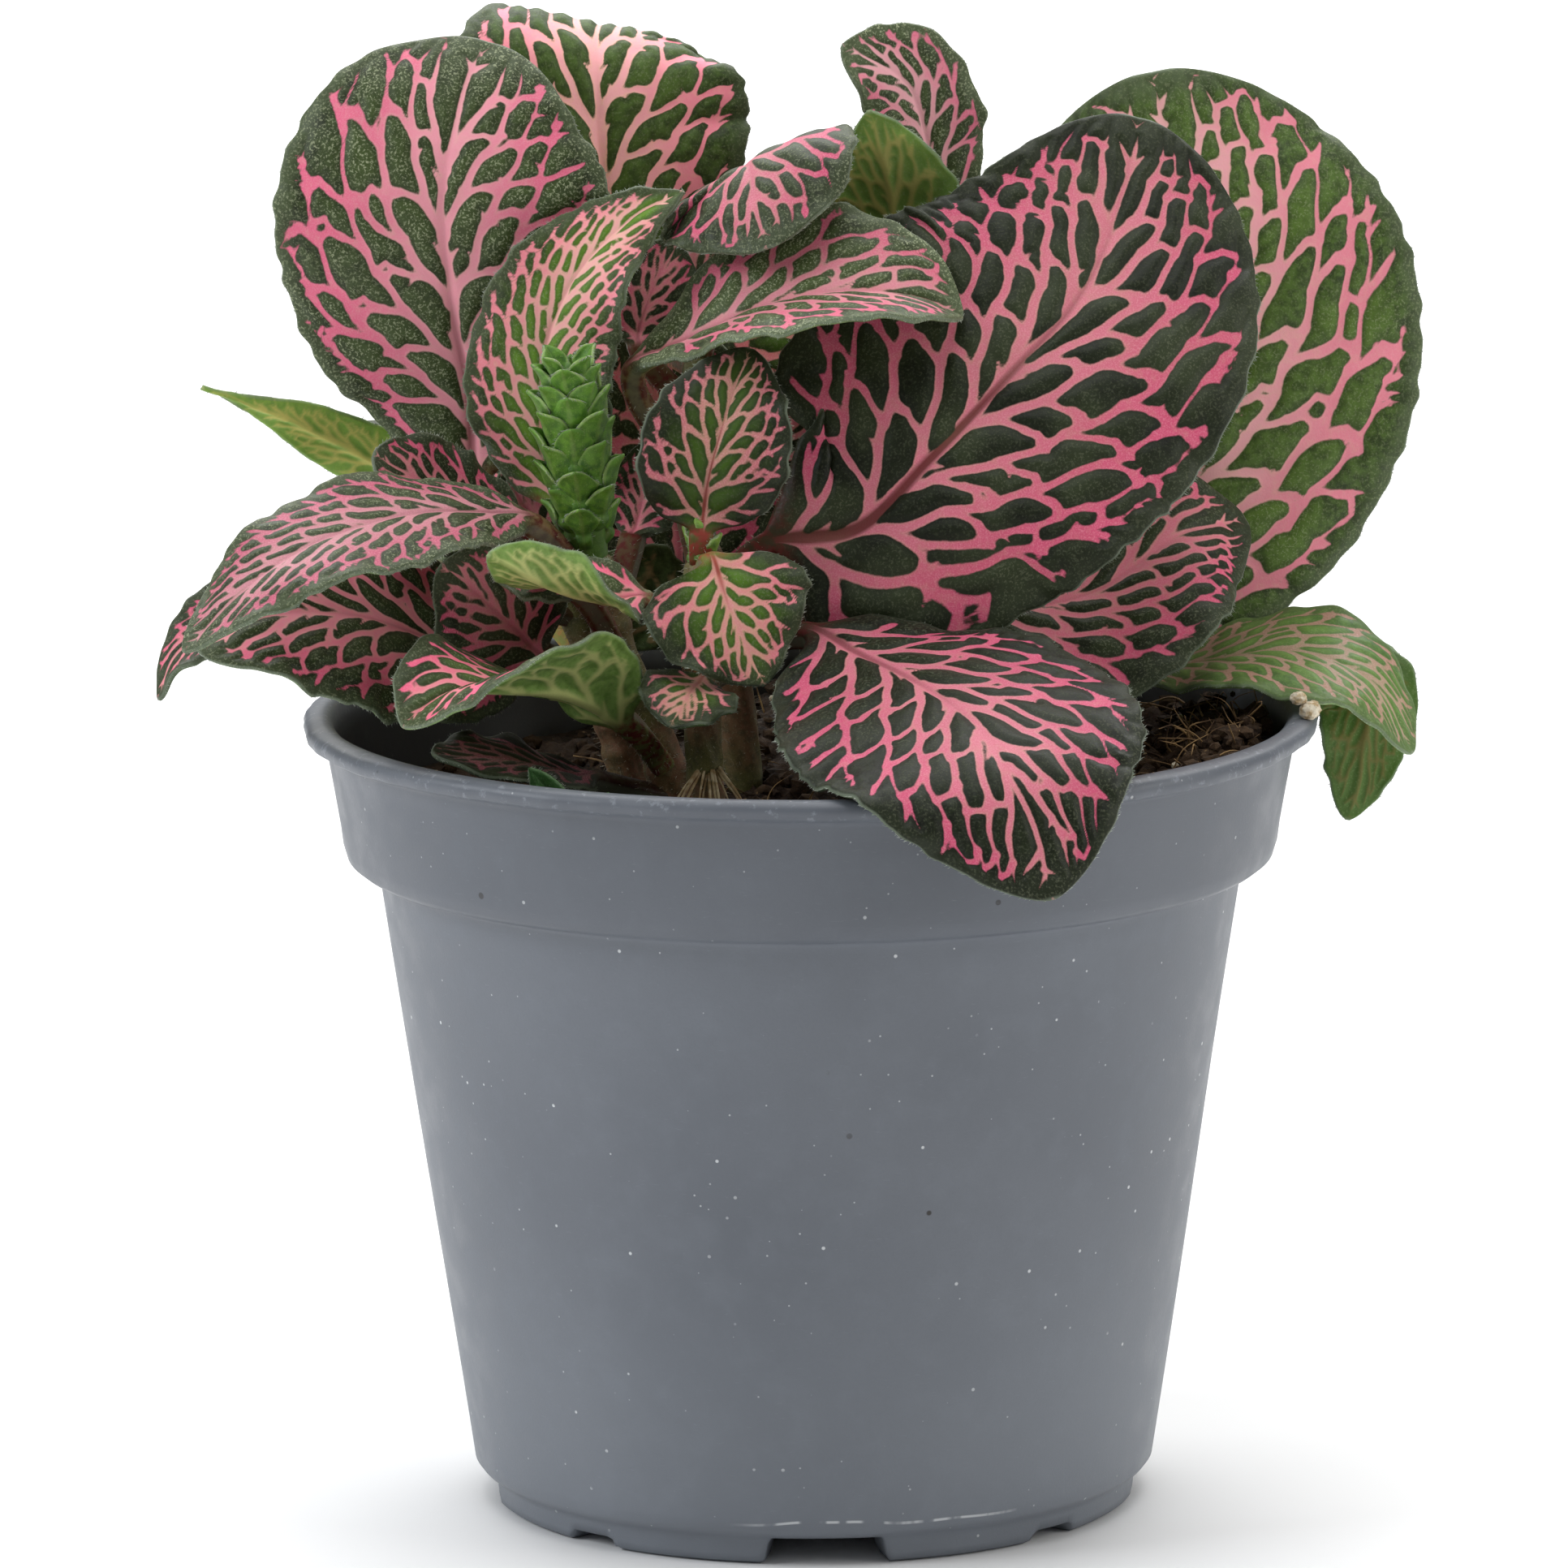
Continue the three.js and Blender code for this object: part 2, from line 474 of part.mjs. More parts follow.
/** Height of the soil's rough surface: low at the front left, heaped towards the right and back. */
function soilHeight(x, y) {
  const heap = THREE.MathUtils.smoothstep(x + 0.55 * y, -18, 42);
  const broad = Math.sin(0.41 * x + 1.3) * Math.cos(0.37 * y - 0.4);
  const small = Math.sin(0.83 * x - 0.71 * y);
  return SOIL_LEVEL + SOIL_RISE * heap + SOIL_BUMP * (0.6 * broad + 0.36 * small);
}

function makeSoil(stemNames) {
  const radiusAt = (height) => {
    const share = (height - CONE_FOOT_HEIGHT) / (COLLAR_FOOT_HEIGHT - CONE_FOOT_HEIGHT);
    return THREE.MathUtils.lerp(CONE_FOOT_RADIUS, CONE_TOP_RADIUS, share) - POT_WALL - SEAT_GAP;
  };
  const floor = FOOT_HEIGHT + POT_WALL + SEAT_GAP;
  const collarInner = COLLAR_FOOT_RADIUS - POT_WALL - SEAT_GAP - 0.2;
  const sides = [
    [radiusAt(CONE_FOOT_HEIGHT) - 1, floor],
    [radiusAt(CONE_FOOT_HEIGHT + 1) - 0.2, CONE_FOOT_HEIGHT + 1.2],
    [radiusAt(COLLAR_FOOT_HEIGHT) - 0.1, COLLAR_FOOT_HEIGHT + 0.6],
    [collarInner, COLLAR_FOOT_HEIGHT + 3.8],
  ];
  const positions = [0, 0, floor];
  const rings = [];
  const addRing = (radius, heightAt) => {
    rings.push(positions.length / 3);
    for (let i = 0; i < SOIL_SECTORS; i += 1) {
      const angle = (i * 2 * Math.PI) / SOIL_SECTORS;
      const x = radius * Math.cos(angle);
      const y = radius * Math.sin(angle);
      positions.push(x, y, heightAt(x, y));
    }
  };
  sides.forEach(([radius, height]) => addRing(radius, () => height));
  for (let ring = SOIL_RINGS; ring >= 1; ring -= 1) {
    const sunk = ring === SOIL_RINGS ? 0.4 : 0;
    addRing((collarInner * ring) / SOIL_RINGS, (x, y) => soilHeight(x, y) - sunk);
  }
  positions.push(0, 0, soilHeight(0, 0));
  const top = positions.length / 3 - 1;
  const index = [];
  for (let i = 0; i < SOIL_SECTORS; i += 1) {
    const next = (i + 1) % SOIL_SECTORS;
    index.push(0, rings[0] + next, rings[0] + i);
    for (let r = 0; r + 1 < rings.length; r += 1) {
      const [low, high] = [rings[r], rings[r + 1]];
      index.push(low + i, low + next, high + next, low + i, high + next, high + i);
    }
    index.push(rings.at(-1) + i, rings.at(-1) + next, top);
  }
  const geometry = new THREE.BufferGeometry();
  geometry.setAttribute('position', new THREE.Float32BufferAttribute(positions, 3));
  geometry.setIndex(index);
  let solid = solidOf(geometry);
  stemNames.forEach((name) => {
    solid = solid.subtract(solidOf(stemBar(name, SEAT_GAP)));
  });
  const [x, y, z] = SPROUTS.root;
  const hole = new THREE.CylinderGeometry(SPROUTS.holeRadius, SPROUTS.holeRadius, 12, 10);
  hole.rotateX(Math.PI / 2);
  hole.translate(x, y, z - SEAT_GAP + 6);
  return solid.subtract(solidOf(hole));
}

// ---------------------------------------------------------------- blades

/** Half the blade's width at u, 0 at the base and 1 at the tip. */
function halfWidth(leaf, u) {
  const lead = Math.log(0.5) / Math.log(leaf.widest);
  const swell = Math.sin(Math.PI * u ** lead) ** leaf.blunt;
  const least = u < 0.3 ? leaf.stalk : 0.4;
  return Math.max((leaf.width / 2) * swell, least);
}

/** A point of one cross-section: v runs from -1 at the left margin to 1 at the right one. */
function sectionPoint(leaf, u, v) {
  const side = v < 0 ? 0 : 1;
  const grown = Math.min(Math.max(u / 0.15, 0), 1);
  const fold = leaf.fold[side] * DEGREE * grown;
  const cup = leaf.cup[side] * DEGREE * grown || 1e-4;
  const reach = Math.abs(v);
  const half = halfWidth(leaf, u);
  const flat = (half * Math.sin(cup * reach)) / cup;
  const lift = (half * (1 - Math.cos(cup * reach))) / cup;
  const out = flat * Math.cos(fold) - lift * Math.sin(fold);
  const up = flat * Math.sin(fold) + lift * Math.cos(fold);
  const phase = side === 0 ? 2 : 0;
  const fade = Math.min((1 - u) / 0.15, 1) * grown;
  const ripple = leaf.wave * reach ** 3 * fade * Math.sin(2 * Math.PI * 3.2 * u + phase);
  return [Math.sign(v) * out, up + ripple];
}

/** A thin closed blade round the grid of points that the leaf's numbers give. */
function bladeGeometry(leaf, root, grid) {
  const points = [root, ...leaf.rib.map((point) => new THREE.Vector3(...point))];
  const curve = new THREE.CatmullRomCurve3(points, false, 'centripetal');
  const perSpan = 40;
  const lengths = curve.getLengths(perSpan * (points.length - 1));
  const bare = lengths[perSpan] / lengths.at(-1);
  const stations = [];
  for (let i = 0; i < grid.stalkRows; i += 1) stations.push((bare * i) / grid.stalkRows);
  for (let i = 0; i <= grid.rows; i += 1) {
    const even = i / grid.rows;
    const eased = (1 - Math.cos(Math.PI * even)) / 2;
    stations.push(bare + (1 - bare) * (0.45 * even + 0.55 * eased));
  }
  const acrossBase = new THREE.Vector3(...leaf.across).normalize();
  const acrossTip = new THREE.Vector3(...(leaf.acrossTip ?? leaf.across)).normalize();
  const middle = stations.map((s) => {
    const u = Math.max((s - bare) / (1 - bare), 0);
    const centre = curve.getPointAt(s);
    const along = curve.getTangentAt(s);
    const across = acrossBase.clone().lerp(acrossTip, u);
    across.addScaledVector(along, -across.dot(along)).normalize();
    const up = across.clone().cross(along);
    const row = [];
    for (let j = 0; j <= grid.columns; j += 1) {
      const v = (2 * j) / grid.columns - 1;
      const [out, lift] = sectionPoint(leaf, u, v);
      row.push(centre.clone().addScaledVector(across, out).addScaledVector(up, lift));
    }
    return { row, u };
  });
  return closedSheet(middle, leaf.stalk, leaf.thickness);
}

/** Closes a grid of points into a sheet: thick at the petiole, thin over the blade. */
function closedSheet(middle, stalk, thickness) {
  const rows = middle.length;
  const columns = middle[0].row.length;
  const positions = [];
  for (const side of [1, -1]) {
    middle.forEach(({ row, u }, i) => {
      row.forEach((point, j) => {
        const ahead = middle[Math.min(i + 1, rows - 1)].row[j];
        const behind = middle[Math.max(i - 1, 0)].row[j];
        const right = row[Math.min(j + 1, columns - 1)];
        const left = row[Math.max(j - 1, 0)];
        const along = ahead.clone().sub(behind);
        const normal = right.clone().sub(left).cross(along).normalize();
        const v = (2 * j) / (columns - 1) - 1;
        const stalkDepth = stalk * Math.sqrt(1 - 0.8 * v * v);
        const depth = THREE.MathUtils.lerp(stalkDepth, thickness / 2, Math.min(u / 0.12, 1));
        const shifted = point.clone().addScaledVector(normal, side * depth);
        positions.push(shifted.x, shifted.y, shifted.z);
      });
    });
  }
  const top = (i, j) => i * columns + j;
  const under = (i, j) => rows * columns + i * columns + j;
  const index = [];
  for (let i = 0; i + 1 < rows; i += 1) {
    for (let j = 0; j + 1 < columns; j += 1) {
      const [a, b, c, d] = [top(i, j), top(i, j + 1), top(i + 1, j + 1), top(i + 1, j)];
      index.push(a, b, c, a, c, d);
      const [e, f, g, h] = [under(i, j), under(i, j + 1), under(i + 1, j + 1), under(i + 1, j)];
      index.push(e, g, f, e, h, g);
    }
    for (const j of [0, columns - 1]) {
      const quad = [top(i, j), top(i + 1, j), under(i + 1, j), under(i, j)];
      const [a, b, c, d] = j === 0 ? quad : quad.reverse();
      index.push(a, b, c, a, c, d);
    }
  }
  for (let j = 0; j + 1 < columns; j += 1) {
    for (const i of [0, rows - 1]) {
      const quad = [top(i, j), top(i, j + 1), under(i, j + 1), under(i, j)];
      const [a, b, c, d] = i === 0 ? quad.reverse() : quad;
      index.push(a, b, c, a, c, d);
    }
  }
  const geometry = new THREE.BufferGeometry();
  geometry.setAttribute('position', new THREE.Float32BufferAttribute(positions, 3));
  geometry.setIndex(index);
  return geometry;
}

/** A leaf whose petiole starts on its stem's axis and is cut back to clear the stem. */
function makeLeaf(leaf, stemSolids) {
  const root = stemCurve(leaf.stem).getPointAt(leaf.at);
  let grid = MIDDLE_GRID;
  if (leaf.width >= LARGE_LEAF) grid = LARGE_GRID;
  if (leaf.width < SLIM_LEAF) grid = SLIM_GRID;
  const blade = bladeGeometry({ ...leaf, stalk: PETIOLE_RADIUS, thickness: BLADE_THICKNESS }, root, grid);
  return solidOf(blade).subtract(stemSolids[leaf.stem]);
}

// ---------------------------------------------------------------- flower spike

/** One bract that leans out of the core at an angle; the ones near the tip are smaller. */
function makeBract(angle, radius, base, size) {
  const outward = new THREE.Vector3(Math.cos(angle), Math.sin(angle), 0);
  const at = (reach, rise) => outward.clone().multiplyScalar(reach).setZ(base + rise);
  const length = BRACT_LENGTH * size;
  const rib = [at(radius + 0.5, 0.2 * length), at(radius + 1.2, 0.55 * length), at(radius + 1.5, length)];
  const bract = {
    rib: rib.map((point) => point.toArray()),
    across: [-Math.sin(angle), Math.cos(angle), 0],
    width: BRACT_WIDTH * size, widest: 0.4, blunt: 0.9,
    fold: [-16, -16], cup: [-14, -14], wave: 0, stalk: 0.9, thickness: BLADE_THICKNESS,
  };
  return solidOf(bladeGeometry(bract, at(radius - 1, -0.4), BRACT_GRID));
}

/** A four-ranked spike of pointed bracts round a slim core, standing on its stem's tip. */
function makeSpike() {
  const foot = new THREE.Vector3(...SPIKE_FOOT);
  const axis = new THREE.Vector3(...SPIKE_TIP).sub(foot);
  const height = axis.length();
  const core = latheAboutZ([
    [0, 0], [1.5, 0], [SPIKE_RADIUS, height * 0.3], [1.3, height * 0.8], [0, height * 0.93],
  ], 8);
  let solid = solidOf(core);
  for (let tier = 0; tier < SPIKE_TIERS; tier += 1) {
    const share = tier / (SPIKE_TIERS - 1);
    const radius = SPIKE_RADIUS * (0.8 + 0.3 * Math.sin(Math.PI * share) - 0.25 * share);
    const base = height * (0.1 + 0.68 * share);
    for (let k = 0; k < SPIKE_BRACTS_PER_TIER; k += 1) {
      const angle = ((k + 0.5 * (tier % 2)) * 360 * DEGREE) / SPIKE_BRACTS_PER_TIER;
      solid = solid.add(makeBract(angle, radius, base, 0.8 + 0.25 * Math.sin(Math.PI * share)));
    }
  }
  const upright = new THREE.Vector3(0, 0, 1);
  const geometry = geometryOf(solid);
  geometry.applyQuaternion(new THREE.Quaternion().setFromUnitVectors(upright, axis.normalize()));
  geometry.translate(foot.x, foot.y, foot.z);
  return geometry;
}

// ---------------------------------------------------------------- sprouts and grains

function makeSprouts() {
  const root = new THREE.Vector3(...SPROUTS.root);
  let solid = null;
  SPROUTS.blades.forEach((blade) => {
    const shape = {
      widest: 0.45, blunt: 0.7, fold: [10, 10], cup: [0, 0], wave: 0,
      stalk: 0.8, thickness: BLADE_THICKNESS, ...blade,
    };
    const one = solidOf(bladeGeometry(shape, root, SPROUT_GRID));
    solid = solid ? solid.add(one) : one;
  });
  return solid;
}

function makeGrain(grain) {
  const draw = seededDraw(grain.seed);
  const ball = new THREE.IcosahedronGeometry(1, 1);
  ball.deleteAttribute('uv');
  ball.deleteAttribute('normal');
  const geometry = mergeVertices(ball);
  const corner = geometry.attributes.position;
  for (let i = 0; i < corner.count; i += 1) {
    const swell = 0.85 + 0.3 * draw();
    corner.setXYZ(i, corner.getX(i) * swell, corner.getY(i) * swell, corner.getZ(i) * swell);
  }
  geometry.scale(...grain.size);
  geometry.translate(...grain.place);
  return geometry;
}

// ---------------------------------------------------------------- assembly

const group = new THREE.Group();

function addPiece(name, geometry, finish) {
  const mesh = new THREE.Mesh(geometry, new THREE.MeshStandardMaterial(finish));
  mesh.name = name;
  group.add(mesh);
}

const stemNames = Object.keys(STEMS);
const stemClearances = {};
stemNames.forEach((name) => {
  addPiece(name, stemBar(name, 0), STEM_GREEN);
  stemClearances[name] = solidOf(stemBar(name, SEAT_GAP));
});

addPiece('pot', makePot(), POT_PLASTIC);
addPiece('soil', geometryOf(makeSoil(stemNames)), SOIL_PEAT);
LEAVES.forEach((leaf) => addPiece(leaf.name, geometryOf(makeLeaf(leaf, stemClearances)), leaf.finish));
addPiece('flower_spike', makeSpike(), SPIKE_GREEN);
addPiece(SPROUTS.name, geometryOf(makeSprouts()), SPROUT_GREEN);
GRAINS.forEach((grain) => addPiece(grain.name, makeGrain(grain), GRAIN_PALE));

export default group;
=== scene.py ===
"""A pink-veined nerve plant in a tapered nursery pot.

Metres, +Z up. The origin is the middle of the pot's foot. The plant's best side looks along -Y.
Lengths in the tables are millimetres in the same frame.
"""

import math

import bmesh
import bpy
import numpy as np
from mathutils import Matrix, Vector, noise


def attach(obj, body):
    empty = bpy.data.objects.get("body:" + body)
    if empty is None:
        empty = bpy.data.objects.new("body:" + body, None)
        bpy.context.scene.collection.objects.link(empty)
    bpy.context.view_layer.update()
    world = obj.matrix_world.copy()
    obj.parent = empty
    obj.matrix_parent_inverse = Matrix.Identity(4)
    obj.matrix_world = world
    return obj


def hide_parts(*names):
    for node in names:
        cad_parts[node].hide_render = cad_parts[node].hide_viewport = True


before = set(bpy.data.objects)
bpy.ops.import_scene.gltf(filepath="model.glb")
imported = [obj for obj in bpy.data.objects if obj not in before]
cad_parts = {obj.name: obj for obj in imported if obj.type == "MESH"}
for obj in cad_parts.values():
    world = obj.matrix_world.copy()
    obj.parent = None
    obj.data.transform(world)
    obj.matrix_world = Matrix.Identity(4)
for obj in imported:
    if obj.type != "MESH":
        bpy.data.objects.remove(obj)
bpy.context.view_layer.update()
MM = 0.001
FULL_TURN = 2 * math.pi
LEAF_SEED, STEM_SEED, SPIKE_SEED, BUD_SEED, LITTER_SEED = 700, 40, 5, 9, 21

# ---------------------------------------------------------------- the plant's numbers

# radius and route of each stem
STEMS = {
    "stem_front": (1.7, [(-8.6, -10.5, 52), (-9.2, -12, 66), (-9.6, -12.4, 78), (-9.4, -12.6, 87)]),
    "stem_left": (1.8, [(-11, -5, 52), (-13, -6, 68), (-17, -6, 78), (-19, -6, 86.4)]),
    "stem_centre": (1.8, [(-5, 7, 52), (-7, 7, 74), (-10.5, 6.5, 90), (-9.5, 8, 102)]),
    "stem_right": (1.9, [(15, 9, 52), (18, 10, 66), (22, 11.5, 80)]),
    "stem_side": (1.6, [(-14, 9, 52), (-18, 9, 70), (-23, 8, 84)]),
    "stem_back": (1.8, [(5, 20, 52), (8, 20, 76), (10, 17, 100)]),
}


def leaf(stem, at, across, width, *rib, **more):
    """A leaf's numbers, on top of what most leaves share.

    stem, at     the stem that carries it, and how far up that stem its petiole leaves
    across       the way across the blade to its right margin, seen from above with the tip up
    rib          the midrib from the base of the blade to its tip
    widest       where along the blade it is widest; blunt is small for a rounded leaf
    fold, cup    degrees that each half lifts at the midrib and bends on to its margin, or (left, right)
    look, skin   its colours, and other colours that replace them where given
    fine, bold   how fine and how thick its veins are, where its width does not say
    wave, frill  how far the margin waves, broadly and finely
    stalk        half the thickness of the petiole
    red          how strong the red of the midrib is, and how far up the blade it fades out
    tone         how light its ground and its veins are beside the colours' own, which is partly the leaf's own colour and partly painted light and shade, and how milky the veins are
    """
    common = dict(look="dark", widest=0.5, blunt=0.6, fold=6, cup=-10, wave=0.3, stalk=1.1, frill=0.13)
    return {**common, "stem": "stem_" + stem, "at": at, "across": across, "width": width, "rib": rib, **more}


LEAVES = {
    "leaf_left_tall": leaf(
        "side", 0.98, (1, -0.1, 0), 31, (-29.2, 10.5, 89.6), (-30.3, 9.4, 98.6), (-31.8, 7.4, 107.6),
        (-32.2, 6.4, 116.5), (-30.9, 8, 124.3), (-28.2, 12.4, 129.5), widest=0.56, blunt=0.47, fold=5,
        cup=-20, wave=0.6, tone=(1.3, 1.05, 0.2),
    ),
    "leaf_back_left": leaf(
        "centre", 0.97, (1, 0.1, -0.2), 28, (-14.9, 15, 103.7), (-17.6, 16.5, 113), (-18.6, 17, 121),
        (-18.6, 18.5, 127.4), (-18.6, 22.5, 129.6), (-18.4, 27, 127), skin="olive", widest=0.55, blunt=0.5,
        cup=(-15, -22), wave=0.6, tone=(1.26, 1.26, 0.05),
    ),
    "leaf_crown_arched": leaf(
        "centre", 1, (-0.85, 0, -0.5), 20, (-6.4, 8.5, 114.5), (-5.4, 4, 119.5), (-4.4, -2, 117),
        (-3.5, -5.5, 113.3), fold=0, cup=-20, wave=0.5, tone=(1.1, 0.9),
    ),
    "leaf_crown_right": leaf(
        "back", 1, (0.75, 0.45, 0.45), 12.5, (12.8, 16, 113), (11.2, 15.5, 118.5), (8.8, 14.5, 125.4),
        (3.2, 12.5, 129), widest=0.45, blunt=0.65, fold=8, tone=(1.42, 1.05, 0.35),
    ),
    "leaf_crown_green": leaf(
        "back", 0.9, (-1, 0.25, 0), 13, (7, 10, 107), (7.7, 8.8, 116), (5.6, 8, 123.8), look="pale",
        skin="lime", widest=0.4, blunt=0.75, fold=4, tone=(0.9, 0.88),
    ),
    "leaf_right_tall": leaf(
        "front", 0.87, (0.72, -0.34, -0.6), 37, (-3.7, -8.5, 87.4), (4.4, -10, 89.2), (10.6, -9, 95),
        (17.6, -6, 101.9), (23.6, -2, 107.8), (27.2, 3, 114), (29.6, 10, 122.7), widest=0.48, blunt=0.5,
        fold=4, cup=(-16, -22), wave=0.7, red=(1.5, 1), tone=(0.6, 0.94), red_width=1.35,
    ),
    "leaf_back_right": leaf(
        "right", 0.95, (0.98, 0.05, -0.1), 41.4, (28.7, 15, 76), (33.6, 17, 85.5), (35.3, 18.5, 99.2),
        (34.3, 20, 111.5), (31.2, 25, 124.8), skin="olive", widest=0.53, blunt=0.5, fold=4, cup=(-14, -20),
        wave=0.7, tone=(1.36, 1.1, 0.14),
    ),
    "leaf_front_right": leaf(
        "front", 0.76, (-0.6, -0.68, -0.42), 31, (-0.2, -14.5, 80.4), (5.4, -21.4, 79.5),
        (13.1, -34.5, 77.1), (17.4, -44.2, 72.7), (20.6, -47.6, 63.2), across_tip=(-0.95, -0.05, -0.2),
        blunt=0.66, fold=(-8, 4), cup=(-14, -4), wave=0.6, tone=(0.67, 0.93),
    ),
    "leaf_right_middle": leaf(
        "front", 0.68, (0.2, -0.65, -0.7), 22, (0.2, -6, 80.2), (11.8, -5, 80.6), (24.2, -1, 81.4),
        (33.8, 5, 86.1), (39.2, 11, 86.2), cup=-16, wave=0.5, tone=(0.88, 1.02),
    ),
    "leaf_right_low": leaf(
        "right", 0.68, (-0.07, -0.98, 0.05), 20, (27, 8.5, 72), (35.7, 6.5, 74.1), (43.2, 5, 75.2),
        (49.9, 4, 72.7), (53.8, 3, 66.2), across_tip=(-0.1, -0.88, -0.45), look="fresh", skin="pale",
        blunt=0.65, wave=0.4, fine=0.6, tone=(1.2, 0.82),
    ),
    "leaf_right_hanging": leaf(
        "back", 0.46, (1, 0.2, 0), 11, (36, 23, 73), (44.5, 17, 73.8), (50, 12, 70), (49.6, 11, 64),
        (48.4, 11, 58.7), look="pale", skin="dull", widest=0.45, bold=0.55, tone=(0.9, 0.85),
    ),
    "leaf_left_arched": leaf(
        "left", 0.84, (-0.27, 0.86, 0.36), 15.2, (-24.2, -9.4, 89.4), (-31.1, -13.4, 91.4), (-38.7, -18, 91),
        (-46.5, -22, 88), (-54.4, -25.6, 81.2), widest=0.47, blunt=0.68, fold=8, cup=-16, wave=0.5, fine=0.6,
        tone=(1.22, 0.86, 0.22),
    ),
    "leaf_left_low": leaf(
        "left", 0.55, (0, 0.72, 0.66), 21, (-24, -5, 75.2), (-32.6, -8, 78.8), (-40, -12, 82),
        (-47.2, -15.5, 82.5), (-53.6, -18, 80), cup=-12, wave=0.5, tone=(1.2, 1.13, 0.08),
    ),
    "leaf_left_far": leaf(
        "side", 0.82, (-0.1, 0.8, 0.55), 10, (-34, 2, 82), (-43.4, -3.5, 83.2), (-50.3, -7.5, 81.6),
        (-55.7, -10, 78), (-57.3, -11, 74.3), widest=0.45, blunt=0.65, fold=8, wave=0.4,
    ),
    "leaf_left_pointed": leaf(
        "side", 0.66, (-0.4, 0.2, -0.85), 6.2, (-31.7, 14.3, 87.2), (-41, 13, 92.8), (-47.3, 8.5, 96.7),
        (-53.8, 3, 100), look="pale", skin="lime", widest=0.32, blunt=1.35, fold=8, cup=-6, wave=0.2,
        tone=(1.3, 1.25, 0.12), frill=0.02,
    ),
    "leaf_left_inner": leaf(
        "left", 0.8, (0.11, 0.51, 0.68), 11, (-25.6, -1, 88), (-31.2, -3, 90.4), (-38.4, -6, 95.4), cup=-8,
    ),
    "leaf_centre_tall": leaf(
        "left", 0.93, (0.93, -0.35, 0), 14.6, (-22, 2.5, 89), (-23.5, 1.5, 96.3), (-23, 0.8, 104),
        (-20.3, 0.3, 110.2), (-15.7, 0.9, 114.9), (-10.8, 2.2, 117.4), across_tip=(0.75, -0.4, -0.4),
        look="fresh", widest=0.38, blunt=0.8, fold=(12, 14), cup=-14, wave=0.5, fine=0.5,
        tone=(1.22, 1.08, 0.14),
    ),
    "leaf_centre_arched": leaf(
        "centre", 0.78, (0, -0.89, -0.45), 19.5, (-15.4, 0.5, 101.5), (-9.5, -2.3, 105.3),
        (-3.1, -4.3, 108.3), (3, -5.6, 109.4), (9, -5.7, 109.1), (13.7, -5, 107), widest=0.58, blunt=0.7,
        fold=24, tone=(1.34, 0.98, 0.14),
    ),
    "leaf_centre_upright": leaf(
        "front", 0.99, (1, 0, 0), 13.5, (-9.4, -13, 89.5), (-8.8, -13.8, 94), (-7.6, -12.8, 98.4),
        (-6.2, -10.3, 102.2), (-5, -8, 104.9), look="fresh", widest=0.4, blunt=0.65, fold=12, cup=-8,
        fine=0.45, red=(1.3, 0.9), tone=(0.72, 0.85),
    ),
    "leaf_centre_drooping": leaf(
        "front", 0.9, (-0.95, -0.1, -0.15), 15, (-8.4, -15.5, 87), (-6.7, -18.5, 82.8), (-3.9, -20.5, 77),
        look="fresh", widest=0.34, blunt=0.75, fold=8, cup=-12, wave=0.4, fine=0.5, red=(1, 0.5),
    ),
    "leaf_inner_dark": leaf(
        "centre", 0.9, (0.9, 0, -0.3), 8.2, (-15, 7.7, 102.8), (-14, 8.1, 107.1), (-11.5, 9.1, 112), fold=8,
        cup=-8,
    ),
    "leaf_lower_violet": leaf(
        "left", 0.7, (0.6, 0.1, 0.6), 13, (-23.5, -7.6, 77.6), (-26.5, -10, 81), (-29.5, -10.6, 84),
        (-32.5, -10.8, 86.2), widest=0.45, cup=-8,
    ),
    "leaf_small_folded": leaf(
        "front", 0.72, (-0.3, 0.6, 0.7), 10, (-14.6, -14.4, 83.4), (-17.9, -16.5, 84.2), (-21.8, -19, 85.6),
        (-28, -21.5, 89), across_tip=(-0.2, 0.3, -0.9), look="pale", skin="light_backed", widest=0.4,
        blunt=0.65, fold=20, cup=-4, tone=(1.12, 1.15),
    ),
    "leaf_small_low": leaf(
        "front", 0.6, (-0.77, 0.39, 0.28), 9, (-9.5, -17.5, 76.7), (-10.6, -20.5, 76.2),
        (-12.2, -23.5, 73.9), look="fresh", widest=0.45, blunt=0.65, fold=8, cup=-8, fine=0.42, bold=0.85,
    ),
    "leaf_lower_green": leaf(
        "left", 0.42, (0, 0.7, -0.7), 17, (-16.4, -15, 73), (-21.1, -19, 76.2), (-26.2, -22.6, 77.4),
        (-31.3, -26, 77.6), (-35.4, -28.6, 75), across_tip=(-0.7, 0.5, 0.4), look="pale",
        skin="light_backed", widest=0.46, blunt=0.65, fold=26, cup=-6, tone=(1.15, 1.15),
    ),
    "leaf_under_spike": leaf(
        "left", 0.74, (-0.3, 0.7, 0.5), 6, (-20.6, -11.6, 84.2), (-23.8, -13.3, 85.2), (-27.4, -14.5, 85.6),
        widest=0.45, cup=-8, wave=0.2,
    ),
    "leaf_beside_spike": leaf(
        "left", 0.82, (0.8, -0.3, 0), 7, (-15.6, 0.5, 86.6), (-14.6, 1, 90.4), (-14.2, 2, 95), widest=0.45,
        cup=-8, wave=0.2,
    ),
    "leaf_heart_dark": leaf(
        "centre", 0.38, (1, 0, 0), 21, (-10.5, 12.5, 74), (-11.5, 15, 83), (-13, 17, 93), (-14.5, 19, 104),
        widest=0.58,
    ),
    "leaf_lower_dark": leaf(
        "left", 0.34, (-0.45, 0.8, 0.25), 11, (-19, -11, 66.8), (-25, -15, 69.2), (-33, -19.5, 70.8), cup=-8,
        tone=(0.6, 0.55),
    ),
    "leaf_rear_low_left": leaf(
        "side", 0.6, (0.72, 0.45, -0.15), 24, (-19, 20, 78), (-25, 31, 81), (-31, 41, 79), (-35, 49, 72.5),
